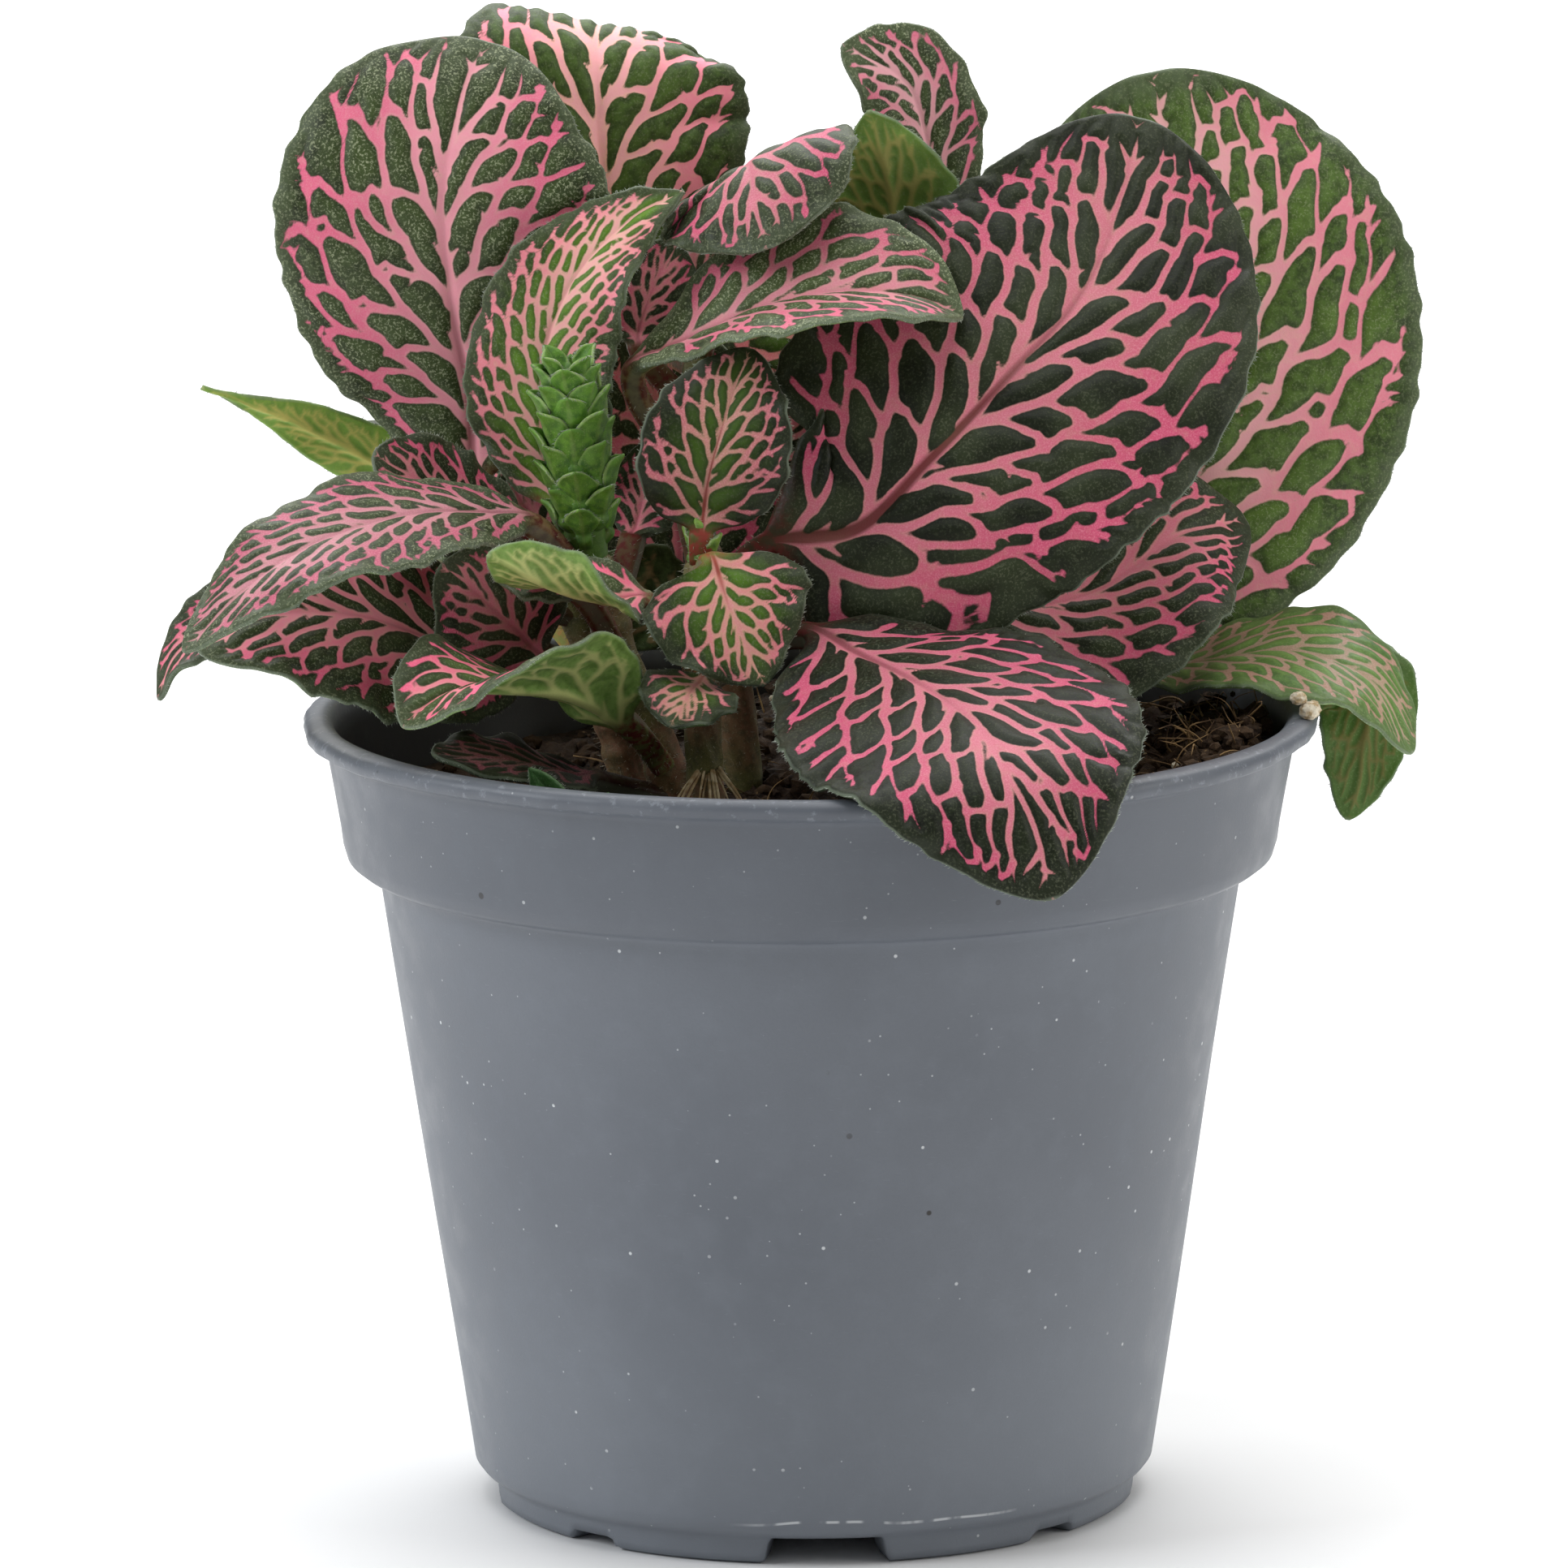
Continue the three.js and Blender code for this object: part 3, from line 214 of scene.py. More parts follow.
        cup=-14, wave=0.5,
    ),
    "leaf_rear_low_right": leaf(
        "back", 0.62, (0.77, -0.45, 0.15), 25, (14, 26, 80), (20, 36, 82), (26, 46, 78), (28, 52, 71),
        cup=-14, wave=0.5,
    ),
    "leaf_rear_middle": leaf(
        "back", 0.72, (0.98, 0.2, 0), 26, (4, 27, 92), (2, 36, 96), (0, 45, 94), (-2, 52, 87), cup=-14,
        wave=0.5,
    ),
    "leaf_rear_left": leaf(
        "side", 0.86, (0.8, 0.5, 0.1), 24, (-24, 17.5, 87), (-28, 26, 91.5), (-32, 35, 93), (-36, 43, 90),
        cup=-14, wave=0.5,
    ),
    "leaf_rear_upright": leaf(
        "back", 0.78, (1, 0, 0), 18, (4, 24, 96), (0, 27, 103), (-3, 31, 107), (-5, 36, 106), look="fresh",
        fold=8, cup=-12, wave=0.4,
    ),
    "leaf_rear_right": leaf(
        "back", 0.84, (0.75, -0.6, 0.1), 24, (18, 24, 100), (25, 31, 105), (32, 38, 106), (38, 45, 101),
        cup=-14, wave=0.5,
    ),
    "young_leaf_top": leaf(
        "centre", 0.97, (1, 0.1, 0), 10, (-9.8, 9.8, 104), (-10.2, 11.4, 108.4), (-10.8, 13, 113.5),
        blunt=0.8, fold=12,
    ),
    "young_leaf_right": leaf(
        "centre", 0.7, (0.7, 0, -0.7), 12, (-7.6, 8.6, 88.6), (-4.2, 9.6, 91.6), (-1.4, 10.2, 95),
        (1, 10.8, 98.6), blunt=0.8, fold=12,
    ),
    "young_leaf_low": leaf(
        "centre", 0.5, (0.3, 0.2, -0.95), 11, (-9.8, 7.4, 77.4), (-13.4, 7, 79), (-17, 6.4, 81),
        (-20.4, 6, 83.6), blunt=0.8, fold=12,
    ),
    "young_leaf_left": leaf(
        "side", 0.9, (0.5, 0.1, 0.85), 9, (-22.6, 6, 84.6), (-25, 5.4, 88.4), (-27.4, 4.8, 92), blunt=0.8,
        fold=12,
    ),
}

# ---------------------------------------------------------------- curves


def catmull(points, per_span=24):
    """A centripetal curve through the points, as a fine polyline."""
    p = [np.asarray(q, float) for q in points]
    p = [2 * p[0] - p[1], *p, 2 * p[-1] - p[-2]]
    out = []
    for a, b, c, d in zip(p, p[1:], p[2:], p[3:]):
        gaps = [max(np.linalg.norm(y - x) ** 0.5, 1e-4) for x, y in ((a, b), (b, c), (c, d))]
        t1 = (b - a) / gaps[0] - (c - a) / (gaps[0] + gaps[1]) + (c - b) / gaps[1]
        t2 = (c - b) / gaps[1] - (d - b) / (gaps[1] + gaps[2]) + (d - c) / gaps[2]
        t1, t2 = t1 * gaps[1], t2 * gaps[1]
        w = np.linspace(0, 1, per_span, endpoint=False)[:, None]
        out.append(b + t1 * w + (-3 * b + 3 * c - 2 * t1 - t2) * w**2 + (2 * b - 2 * c + t1 + t2) * w**3)
    return np.vstack([*out, p[-2][None]])


class Path:
    """A polyline read by length: share 0 is its start and 1 its end."""

    def __init__(self, line):
        self.line = line
        steps = np.linalg.norm(np.diff(line, axis=0), axis=1)
        self.at = np.concatenate([[0], np.cumsum(steps)])
        self.length = self.at[-1]

    def point(self, share):
        where = np.clip(np.asarray(share, float), 0, 1) * self.length
        return np.stack([np.interp(where, self.at, part) for part in self.line.T], -1)

    def tangent(self, share):
        share = np.asarray(share, float)
        step = self.point(share + 0.01) - self.point(share - 0.01)
        return step / np.maximum(np.linalg.norm(step, axis=-1, keepdims=True), 1e-9)


def unit(v):
    return v / np.maximum(np.linalg.norm(v, axis=-1, keepdims=True), 1e-12)


def smooth(low, high, x):
    t = np.clip((x - low) / (high - low), 0, 1)
    return t * t * (3 - 2 * t)


STEM_PATHS = {name: Path(catmull(route)) for name, (_, route) in STEMS.items()}

# ---------------------------------------------------------------- meshes


def build(name, verts, face_sets, attributes=None, uvs=None, smooth_faces=True):
    """A mesh object from millimetre points and sets of faces, with per-point numbers."""
    verts = np.asarray(verts, np.float32) * MM
    face_sets = [np.asarray(faces, np.int32) for faces in face_sets]
    corners = np.concatenate([faces.ravel() for faces in face_sets])
    sizes = np.concatenate([np.full(len(faces), faces.shape[1], np.int32) for faces in face_sets])
    starts = np.concatenate([[0], np.cumsum(sizes)[:-1]]).astype(np.int32)
    mesh = bpy.data.meshes.new(name)
    mesh.vertices.add(len(verts))
    mesh.vertices.foreach_set("co", verts.ravel())
    mesh.loops.add(len(corners))
    mesh.loops.foreach_set("vertex_index", corners)
    mesh.polygons.add(len(sizes))
    mesh.polygons.foreach_set("loop_start", starts)
    mesh.update(calc_edges=True)
    mesh.polygons.foreach_set("use_smooth", np.full(len(sizes), smooth_faces))
    for key, values in (attributes or {}).items():
        layer = mesh.attributes.new(key, "FLOAT", "POINT")
        layer.data.foreach_set("value", np.asarray(values, np.float32).ravel())
    if uvs is not None:
        layer = mesh.uv_layers.new(name="OFBake")
        layer.data.foreach_set("uv", np.asarray(uvs, np.float32).ravel())
    mesh.validate()
    obj = bpy.data.objects.new(name, mesh)
    bpy.context.scene.collection.objects.link(obj)
    return obj


def finish_piece(obj, material, slot, *nodes):
    """Dresses a piece and fixes it to the plant."""
    obj.data.materials.append(material)
    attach(obj, "root")
    if nodes:
        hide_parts(*nodes)
    return obj


def cell_uvs(count, corners):
    """Gives each of many tiny faces a cell of its own on the unit square."""
    side = math.ceil(math.sqrt(count))
    shape = {3: [(0.1, 0.1), (0.9, 0.1), (0.1, 0.9)], 4: [(0.1, 0.1), (0.9, 0.1), (0.9, 0.9), (0.1, 0.9)]}
    index = np.arange(count)
    cell = np.stack([index % side, index // side], -1)[:, None, :]
    return ((cell + np.array(shape[corners])[None]) / side).reshape(-1, 2)


def ring_skin(rings, low, high):
    """The points and faces of a closed skin through rings of points, with a middle point at each end."""
    rows, sides = rings.shape[:2]
    row, col = (grid.ravel() for grid in np.meshgrid(np.arange(rows - 1), np.arange(sides), indexing="ij"))
    here, after = row * sides + col, row * sides + (col + 1) % sides
    quads = np.stack([here, after, after + sides, here + sides], -1)
    one, two = np.arange(sides), (np.arange(sides) + 1) % sides
    last, count = (rows - 1) * sides, rows * sides
    foot = np.stack([two, one, np.full(sides, count)], -1)
    head = np.stack([last + one, last + two, np.full(sides, count + 1)], -1)
    return np.vstack([rings.reshape(-1, 3), [low], [high]]), [quads, np.vstack([foot, head])]


def tube(path, radius_at, rows, sides):
    """A closed round tube along a path: its points, faces, share along it and outward directions."""
    share = np.linspace(0, 1, rows)
    centre, along = path.point(share), path.tangent(share)
    first = unit(np.cross(along, np.array([0.3, 1.0, 0.15])))
    second = np.cross(along, first)
    angle = np.linspace(0, FULL_TURN, sides, endpoint=False)
    ring = first[:, None] * np.cos(angle)[None, :, None] + second[:, None] * np.sin(angle)[None, :, None]
    radius = radius_at(share[:, None], angle[None, :])[..., None]
    verts, faces = ring_skin(centre[:, None] + ring * radius, centre[0], centre[-1])
    shares = np.concatenate([np.repeat(share, sides), [0, 1]])
    return verts, faces, shares, np.vstack([ring.reshape(-1, 3), -along[:1], along[-1:]])


# ---------------------------------------------------------------- veins


# half widths along a vein from its foot to its tip, for a leaf of fineness 1
ARM, RUNNER, TWIG = (0.46, 0.41, 0.36, 0.3, 0.2), (0.32, 0.28, 0.25, 0.22), (0.26, 0.22, 0.2, 0.22)
LAST, RIM_SPUR = (0.19, 0.15, 0.13), (0.18, 0.12, 0.02)
SIDE_SPUR, RIB_SPUR = (0.2, 0.11, 0.02), (0.32, 0.22, 0.05)
FREE_TIP = 0.03
LONGEST_VEIN = 99.0


class VeinNet:
    """Veins of one half of a blade, grown from the midrib until they meet a vein or the margin."""

    def __init__(self, spec, length, half, rng):
        self.fine, self.sweep = spec["fine"], spec["sweep"]
        self.length, self.half, self.rng = length, half, rng
        self.paths, self.widths = [], []
        self.placed, self.owner = np.zeros((0, 2)), np.zeros(0, int)

    def lean(self, place):
        """The direction veins settle to: steep beside the midrib, nearly along the margin out there."""
        share = np.clip(place[0] / self.length, 0, 1)
        room = self.half(share)
        q = np.clip(place[1] / room, 0, 1)
        run = (self.half(min(share + 0.03, 1)) - self.half(max(share - 0.03, 0))) / (0.06 * self.length)
        inner = np.interp(share, [0, 0.12, 0.5, 1], [58, 43, 32, 22]) * self.sweep
        outer = np.degrees(np.arctan(run)) + np.interp(share, [0, 0.4, 1], [12, 14, 18])
        return inner + (outer - inner) * q**0.8

    def grow(self, start, turn, taper, parent):
        """Adds one vein; returns its path, or nothing where there is no room for it."""
        fine, rng = self.fine, self.rng
        margin = rng.uniform(1.15, 1.9) * fine
        place, points, walked = np.array(start, float), [np.array(start, float)], 0.0
        way = self.lean(place) + turn
        kink, side = rng.uniform(2.2, 3.4) * fine, rng.choice([-1, 1])
        step, met = 0.35 * fine, False
        hold = 0.0 if parent < 0 else rng.uniform(2.8, 4.0) * fine
        others = self.placed[self.owner != parent] if parent >= 0 else self.placed[:0]
        while walked < LONGEST_VEIN:
            room = self.half(np.clip(place[0] / self.length, 0, 1))
            if place[1] > room - margin or place[0] > 0.975 * self.length or place[1] < 0.2:
                if walked > 1:
                    break
            if walked >= hold:
                way += (self.lean(place) - way) * min(1, step / (1.6 * fine))
            bend = math.radians(way + 9 * side * math.cos(math.pi * walked / kink))
            place = place + step * np.array([math.cos(bend), math.sin(bend)])
            walked += step
            points.append(place)
            if len(others) and walked > 0.9 * fine:
                gap = np.linalg.norm(others - place, axis=1)
                if gap.min() < 1.5 * fine:
                    points.append(others[gap.argmin()])
                    met = True
                    break
        line = np.array(points)
        path = Path(line)
        if path.length < 1.1 * fine:
            return None
        index = len(self.paths)
        end = taper[-1] if met else FREE_TIP
        body = taper if met else [*taper[:-1], 0.6 * taper[-1], end]
        width = np.interp(np.linspace(0, 1, len(line)), np.linspace(0, 1, len(body)), body)
        if met:
            width[-2:] *= 1.25
        width[:2] *= 1.2
        self.paths.append(path)
        self.widths.append(width)
        self.placed = np.concatenate([self.placed, line[1:]])
        self.owner = np.concatenate([self.owner, np.full(len(line) - 1, index)])
        return index

    def spur(self, here, end, taper, bow=0.0):
        """Adds a short vein that ends free."""
        self.paths.append(Path(np.array([here, (here + end) / 2 + [bow, 0], end])))
        self.widths.append(np.array(taper))

    def branches(self, index, every, turn, taper, first):
        """Grows side branches from the outer flank of a vein."""
        path, made = self.paths[index], []
        at = first * self.rng.uniform(0.8, 1.2)
        while at < 0.97 * path.length:
            angle = turn + self.rng.uniform(-9, 9)
            child = self.grow(path.point(at / path.length), angle, taper, index)
            if child is not None:
                made.append(child)
            at += every * self.rng.uniform(0.75, 1.25)
        return made


def vein_lines(spec, length, half, rng):
    """Every vein of a blade as (points, half widths), in millimetres along and across the flat blade."""
    fine, bold = spec["fine"], spec["bold"]
    s = np.linspace(-12, 0.965 * length, 60)
    body = np.clip(1 - np.maximum(s, 0) / length, 0, 1)
    wander = 0.3 * fine * np.sin(s / (2.6 * fine)) * (s > 0)
    lines = [(np.stack([s, wander], -1), fine * (0.13 + 0.42 * body**0.9))]
    for side in (-1, 1):
        net = VeinNet(spec, length, half, rng)
        order = (np.arange(spec["pairs"]) + 0.3 * rng.random()) / spec["pairs"]
        arms = []
        for share in 0.03 + 0.82 * order**1.12:
            start = (length * (share + rng.uniform(-0.012, 0.012)), 0.0)
            arms.append(net.grow(start, rng.uniform(-3, 8), ARM, -1))
        arms = [arm for arm in arms if arm is not None]
        runners = []
        for arm in arms:
            runners += net.branches(arm, 5.6 * fine, 42, RUNNER, 3.2 * fine)
        twigs = []
        for runner in runners:
            twigs += net.branches(runner, 5.0 * fine, 46, TWIG, 2.7 * fine)
        for twig in twigs:
            net.branches(twig, 4.2 * fine, 42, LAST, 2.3 * fine)
        for s in np.arange(0.05 * length, 0.96 * length, 1.75 * fine):
            s = s + rng.uniform(-0.4, 0.4) * fine
            gap = np.linalg.norm(net.placed - [s, half(s / length) - 2.2 * fine], axis=1)
            here = net.placed[gap.argmin()]
            turn = math.radians(net.lean(here) + rng.uniform(30, 55))
            way = np.array([math.cos(turn), math.sin(turn)])
            ahead = here + way * fine
            reach = half(np.clip(ahead[0] / length, 0, 1)) - rng.uniform(1.05, 1.6) * fine - here[1]
            if gap.min() < 1.9 * fine and 0.45 * fine < reach < 2.8 * fine:
                net.spur(here, here + way * reach / max(way[1], 0.5), RIM_SPUR, 0.08 * reach)
        for path in list(net.paths):
            for t in np.arange(0.2, 0.9, 4.2 * fine / path.length):
                if rng.random() < 0.16:
                    here, way = path.point(t), path.tangent(t)
                    side_way = rng.choice([-1, 1]) * np.array([-way[1], way[0]])
                    net.spur(here, here + (0.6 * way + side_way) * rng.uniform(0.7, 1.15) * fine, SIDE_SPUR)
        for share in (*np.arange(0.08, 0.8, 0.19), 0.9, 0.95):
            here = np.array([length * (share + rng.uniform(0, 0.05)), 0.0])
            turn = math.radians(rng.uniform(30, 50))
            out = rng.uniform(1.6, 2.4) * fine * np.array([math.cos(turn), math.sin(turn)])
            net.spur(here, here + out, RIB_SPUR)
        for path, width in zip(net.paths, net.widths):
            lines.append((path.line * [1, side], width * fine * bold))
    return lines


def vein_field(lines, along, across, rows_at, blend, far=1.3):
    """How far each point lies outside the nearest vein, in millimetres; joints between veins are rounded."""
    total = np.exp(-far / blend)
    columns = across.shape[1]
    for points, half_widths in lines:
        low, high = np.searchsorted(rows_at, [points[:, 0].min() - 2.4, points[:, 0].max() + 2.4])
        if high - low < 1:
            continue
        left, right = 0, columns
        if points[:, 1].min() > 0.8:
            left = columns // 2
        if points[:, 1].max() < -0.8:
            right = columns // 2 + 1
        s, w = along[low:high, left:right], across[low:high, left:right]
        near = np.full(s.shape, 9.0)
        for (a, b), (ra, rb) in zip(zip(points, points[1:]), zip(half_widths, half_widths[1:])):
            step = b - a
            t = np.clip(((s - a[0]) * step[0] + (w - a[1]) * step[1]) / max(step @ step, 1e-9), 0, 1)
            gap = np.hypot(s - a[0] - t * step[0], w - a[1] - t * step[1]) - (ra + t * (rb - ra))
            np.minimum(near, gap, out=near)
        total[low:high, left:right] += np.exp(-np.minimum(near, far) / blend[low:high, left:right])
    return -blend * np.log(total)


# ---------------------------------------------------------------- blades


def half_width(spec, u):
    lead = math.log(0.5) / math.log(spec["widest"])
    swell = np.abs(np.sin(math.pi * np.clip(u, 0, 1) ** lead)) ** spec["blunt"]
    least = np.where(u < 0.3, spec["stalk"], spec.get("tip", 0.25))
    return np.maximum(spec["width"] / 2 * swell, least)


def section(spec, u, v, length, phase):
    """Sideways and upward place of each point of the blade, about its midrib."""
    side = (v > 0).astype(int)
    grown = np.clip(u / 0.15, 0, 1)
    fold, cup = (np.radians(np.broadcast_to(spec[key], 2))[side] * grown for key in ("fold", "cup"))
    cup = np.where(np.abs(cup) < 1e-4, 1e-4, cup)
    reach = np.abs(v)
    half = half_width(spec, u)
    flat = half * np.sin(cup * reach) / cup
    lift = half * (1 - np.cos(cup * reach)) / cup
    out = flat * np.cos(fold) - lift * np.sin(fold)
    up = flat * np.sin(fold) + lift * np.cos(fold)
    fade = np.clip((1 - u) / 0.15, 0, 1) * grown
    up = up + spec["wave"] * reach**3 * fade * np.sin(FULL_TURN * 3.2 * u + 2 * (side == 0))
    fine_wave = np.sin(FULL_TURN * u * length / 3.3 + phase + 2.4 * side)
    fine_wave = fine_wave + 0.6 * np.sin(u * length * 3.1 + phase)
    out = out + spec["frill"] * reach**6 * fade * fine_wave
    up = up + 1.4 * spec["frill"] * reach**4 * fade * np.sin(u * length * 1.37 + 3 * phase + side)
    return np.sign(v) * out, up


def blade(spec, root, rib, rows, columns, stalk_rows, rng):
    """The middle surface of a blade and its petiole, and where each point lies on it."""
    span = 40
    curve = Path(catmull([root, *rib], span))
    bare = curve.at[span] / curve.length
    even = np.linspace(0, 1, rows + 1)
    eased = (1 - np.cos(math.pi * even)) / 2
    stalk_share, blade_share = np.arange(stalk_rows) / stalk_rows, 0.45 * even + 0.55 * eased
    share = np.concatenate([bare * stalk_share, bare + (1 - bare) * blade_share])
    u = np.clip((share - bare) / (1 - bare), 0, 1)[:, None]
    v = np.linspace(-1, 1, columns + 1)[None, :]
    length = (1 - bare) * curve.length
    out, up = section(spec, u, v, length, rng.uniform(0, 6))
    round_out = spec["stalk"] * np.sin(math.pi / 2 * v)
    keep = np.clip(u / 0.06, 0, 1)
    out = round_out + keep * (out - round_out)
    centre, along = curve.point(share), curve.tangent(share)
    ends = spec["across"], spec.get("across_tip", spec["across"])
    base, tip = (unit(np.array(end, float)) for end in ends)
    across = base[None] * (1 - u) + tip[None] * u
    across = unit(across - along * np.sum(across * along, -1, keepdims=True))
    upward = np.cross(across, along)
    middle = centre[:, None] + across[:, None] * out[..., None] + upward[:, None] * up[..., None]
    right = np.gradient(middle, axis=1)
    ahead = np.gradient(middle, axis=0)
    normal = unit(np.cross(right, ahead))
    before = (share - bare) * curve.length
    return dict(middle=middle, normal=normal, across=across, u=u, v=v, length=length, before=before)


def close_sheet(upper, under):
    """Joins two grids of points along their edges into one closed skin."""
    rows, columns = upper.shape[:2]
    offset = rows * columns
    i, j = (grid.ravel() for grid in np.meshgrid(np.arange(rows - 1), np.arange(columns - 1), indexing="ij"))
    a, b, c, d = i * columns + j, i * columns + j + 1, (i + 1) * columns + j + 1, (i + 1) * columns + j
    top = np.stack([a, b, c, d], -1)
    bottom = np.stack([a, d, c, b], -1) + offset
    r, k = np.arange(rows - 1), np.arange(columns - 1)
    low, high = r * columns, (r + 1) * columns
    left = np.stack([low, high, high + offset, low + offset], -1)
    low, high = low + columns - 1, high + columns - 1
    right = np.stack([low + offset, high + offset, high, low], -1)
    base = np.stack([k + offset, k + 1 + offset, k + 1, k], -1)
    end = (rows - 1) * columns
    tip = np.stack([end + k, end + k + 1, end + k + 1 + offset, end + k + offset], -1)
    x, y = np.meshgrid(np.linspace(0.01, 0.47, columns), np.linspace(0.01, 0.99, rows))
    flat = np.concatenate([np.stack([x, y], -1).reshape(-1, 2), np.stack([x + 0.52, y], -1).reshape(-1, 2)])
    edges = np.concatenate([left, right, base, tip])
    strip = cell_uvs(len(edges), 4) * [0.03, 0.98] + [0.48, 0.01]
    uvs = np.concatenate([flat[top.ravel()], flat[bottom.ravel()], strip])
    verts = np.concatenate([upper.reshape(-1, 3), under.reshape(-1, 3)])
    return verts, [np.concatenate([top, bottom, edges])], uvs

# ---------------------------------------------------------------- materials


def linear(hexa):
    """A colour written as in a paint chart, as linear light."""
    parts = [int(hexa[i : i + 2], 16) / 255 for i in (1, 3, 5)]
    return (*[c / 12.92 if c <= 0.04045 else ((c + 0.055) / 1.055) ** 2.4 for c in parts], 1)


class Shader:
    """A node material. Sizes of patterns and depths of bumps are in millimetres, places in metres."""

    def __init__(self, name):
        self.material = bpy.data.materials.new(name)
        self.material.use_nodes = True
        self.tree = self.material.node_tree
        self.tree.nodes.clear()
        self.surface = self.node("BsdfPrincipled").node
        self.node("OutputMaterial", {0: self.surface.outputs[0]}, None)
        self.place = self.node("TexCoord", out="Object")

    def put(self, socket, value):
        if isinstance(value, bpy.types.NodeSocket):
            self.tree.links.new(value, socket)
        else:
            socket.default_value = linear(value) if isinstance(value, str) else value

    def node(self, kind, inputs=(), out=0, **settings):
        """Adds a node, fills its inputs and gives one of its outputs."""
        made = self.tree.nodes.new("ShaderNode" + kind)
        for key, value in settings.items():
            setattr(made, key, value)
        for key, value in dict(inputs).items():
            self.put(made.inputs[key], value)
        return None if out is None else made.outputs[out]

    def attribute(self, name):
        return self.node("Attribute", out="Fac", attribute_name=name)

    def stretched(self, scale):
        return self.node("VectorMath", {0: self.place, 1: scale}, operation="MULTIPLY")

    def inward(self):
        """How much the skin faces the axis of the pot."""
        inputs = {0: self.node("NewGeometry", out="Normal"), 1: self.stretched((-1, -1, 0))}
        return self.node("VectorMath", inputs, "Value", operation="DOT_PRODUCT")

    def axes(self):
        return list(self.node("SeparateXYZ", {0: self.place}).node.outputs)

    def noise(self, size, detail=2.0, rough=0.5, at=None):
        inputs = {"Vector": at or self.place, "Scale": 1000 / size, "Detail": detail, "Roughness": rough}
        return self.node("TexNoise", inputs, "Fac")

    def cells(self, size):
        return self.node("TexVoronoi", {"Vector": self.place, "Scale": 1000 / size}, "Distance")

    def math(self, kind, a, b=0.0, c=0.0):
        return self.node("Math", {0: a, 1: b, 2: c}, operation=kind)

    def times(self, a, b):
        return self.math("MULTIPLY", a, b)

    def ramp(self, value, low, high, start=0.0, end=1.0):
        """A soft step from start at low to end at high."""
        inputs = {"Value": value, "From Min": low, "From Max": high, "To Min": start, "To Max": end}
        return self.node("MapRange", inputs, interpolation_type="SMOOTHSTEP")

    def mix(self, share, a, b):
        return self.node("Mix", {0: share, 6: a, 7: b}, 2, data_type="RGBA")

    def over(self, tone, top, value, low, high, most=1.0):
        """Lays the top colour over the tone as the value goes from low to high."""
        return self.mix(self.ramp(value, low, high, 0.0, most), tone, top)

    def bump(self, height, depth, strength=1.0, under=None):
        inputs = {"Strength": strength, "Distance": depth * MM, "Height": height}
        return self.node("Bump", {**inputs, "Normal": under} if under else inputs)

    def finish(self, color, rough, normal=None, **fixed):
        self.put(self.surface.inputs["Base Color"], color)
        self.put(self.surface.inputs["Roughness"], rough)
        if normal:
            self.put(self.surface.inputs["Normal"], normal)
        for key, value in fixed.items():
            self.surface.inputs[key.replace("_", " ")].default_value = value
        return self.material


LOOKS = {
    "dark": dict(
        ground="#2F3820", deep="#1A1F11", bright="#3A4823", spark="#8B9174", band="#3E4731",
        vein="#E25A80", pale="#E67F92", cream="#D99F8F", core="#6A2522", stalk="#6B573A",
        under="#5B7040", under_vein="#B79A6E", sparkle=0.75, glow=0.25,
    ),
    "olive": dict(
        ground="#3A4C21", deep="#202A13", bright="#4B6225", spark="#7F8765", band="#3B442F",
        vein="#DE7B8C", pale="#E39EA0", cream="#D3AC8C", core="#C07C68", stalk="#75643E",
        under="#5F7840", under_vein="#B9A272", sparkle=0.35, glow=0.25,
    ),
    "fresh": dict(
        ground="#38491B", deep="#202A12", bright="#5E8624", spark="#82896A", band="#383F2C",
        vein="#E27C88", pale="#E39A92", cream="#D6B289", core="#A5483A", stalk="#7F7E40",
        under="#6F8F45", under_vein="#C2B878", sparkle=0.45, glow=0.8,
    ),
    "pale": dict(
        ground="#4B6A2B", deep="#34501F", bright="#66893A", spark="#90A070", band="#46592F",
        vein="#CFA086", pale="#D2B092", cream="#CFC09A", core="#B88A52", stalk="#8C9150",
        under="#6C8E3F", under_vein="#BDB567", sparkle=0.3, glow=0.25,
    ),
}
LOOKS["lime"] = LOOKS["pale"] | dict(
    ground="#587534", bright="#7C9A46", vein="#A8A65C", pale="#B2B46C", cream="#BDC184"
)
LOOKS["dull"] = LOOKS["lime"] | dict(
    ground="#3C5720", deep="#2F4519", bright="#4F7228", vein="#8F7F42", pale="#90883F",
    under="#4C6E28", under_vein="#86743A",
)
LOOKS["light_backed"] = LOOKS["dark"] | dict(
    bright="#5F7D38", under="#7C9A50", under_vein="#B9BE7A", stalk="#6F7546"
)


def dim(hexa, gain, milky=0):
    """A colour made lighter or darker by a given gain, and more or less milky."""
    milk = linear("#F0C9CE")
    return (*[(a + (b - a) * milky) * gain**2.2 for a, b in zip(linear(hexa)[:3], milk)], 1)


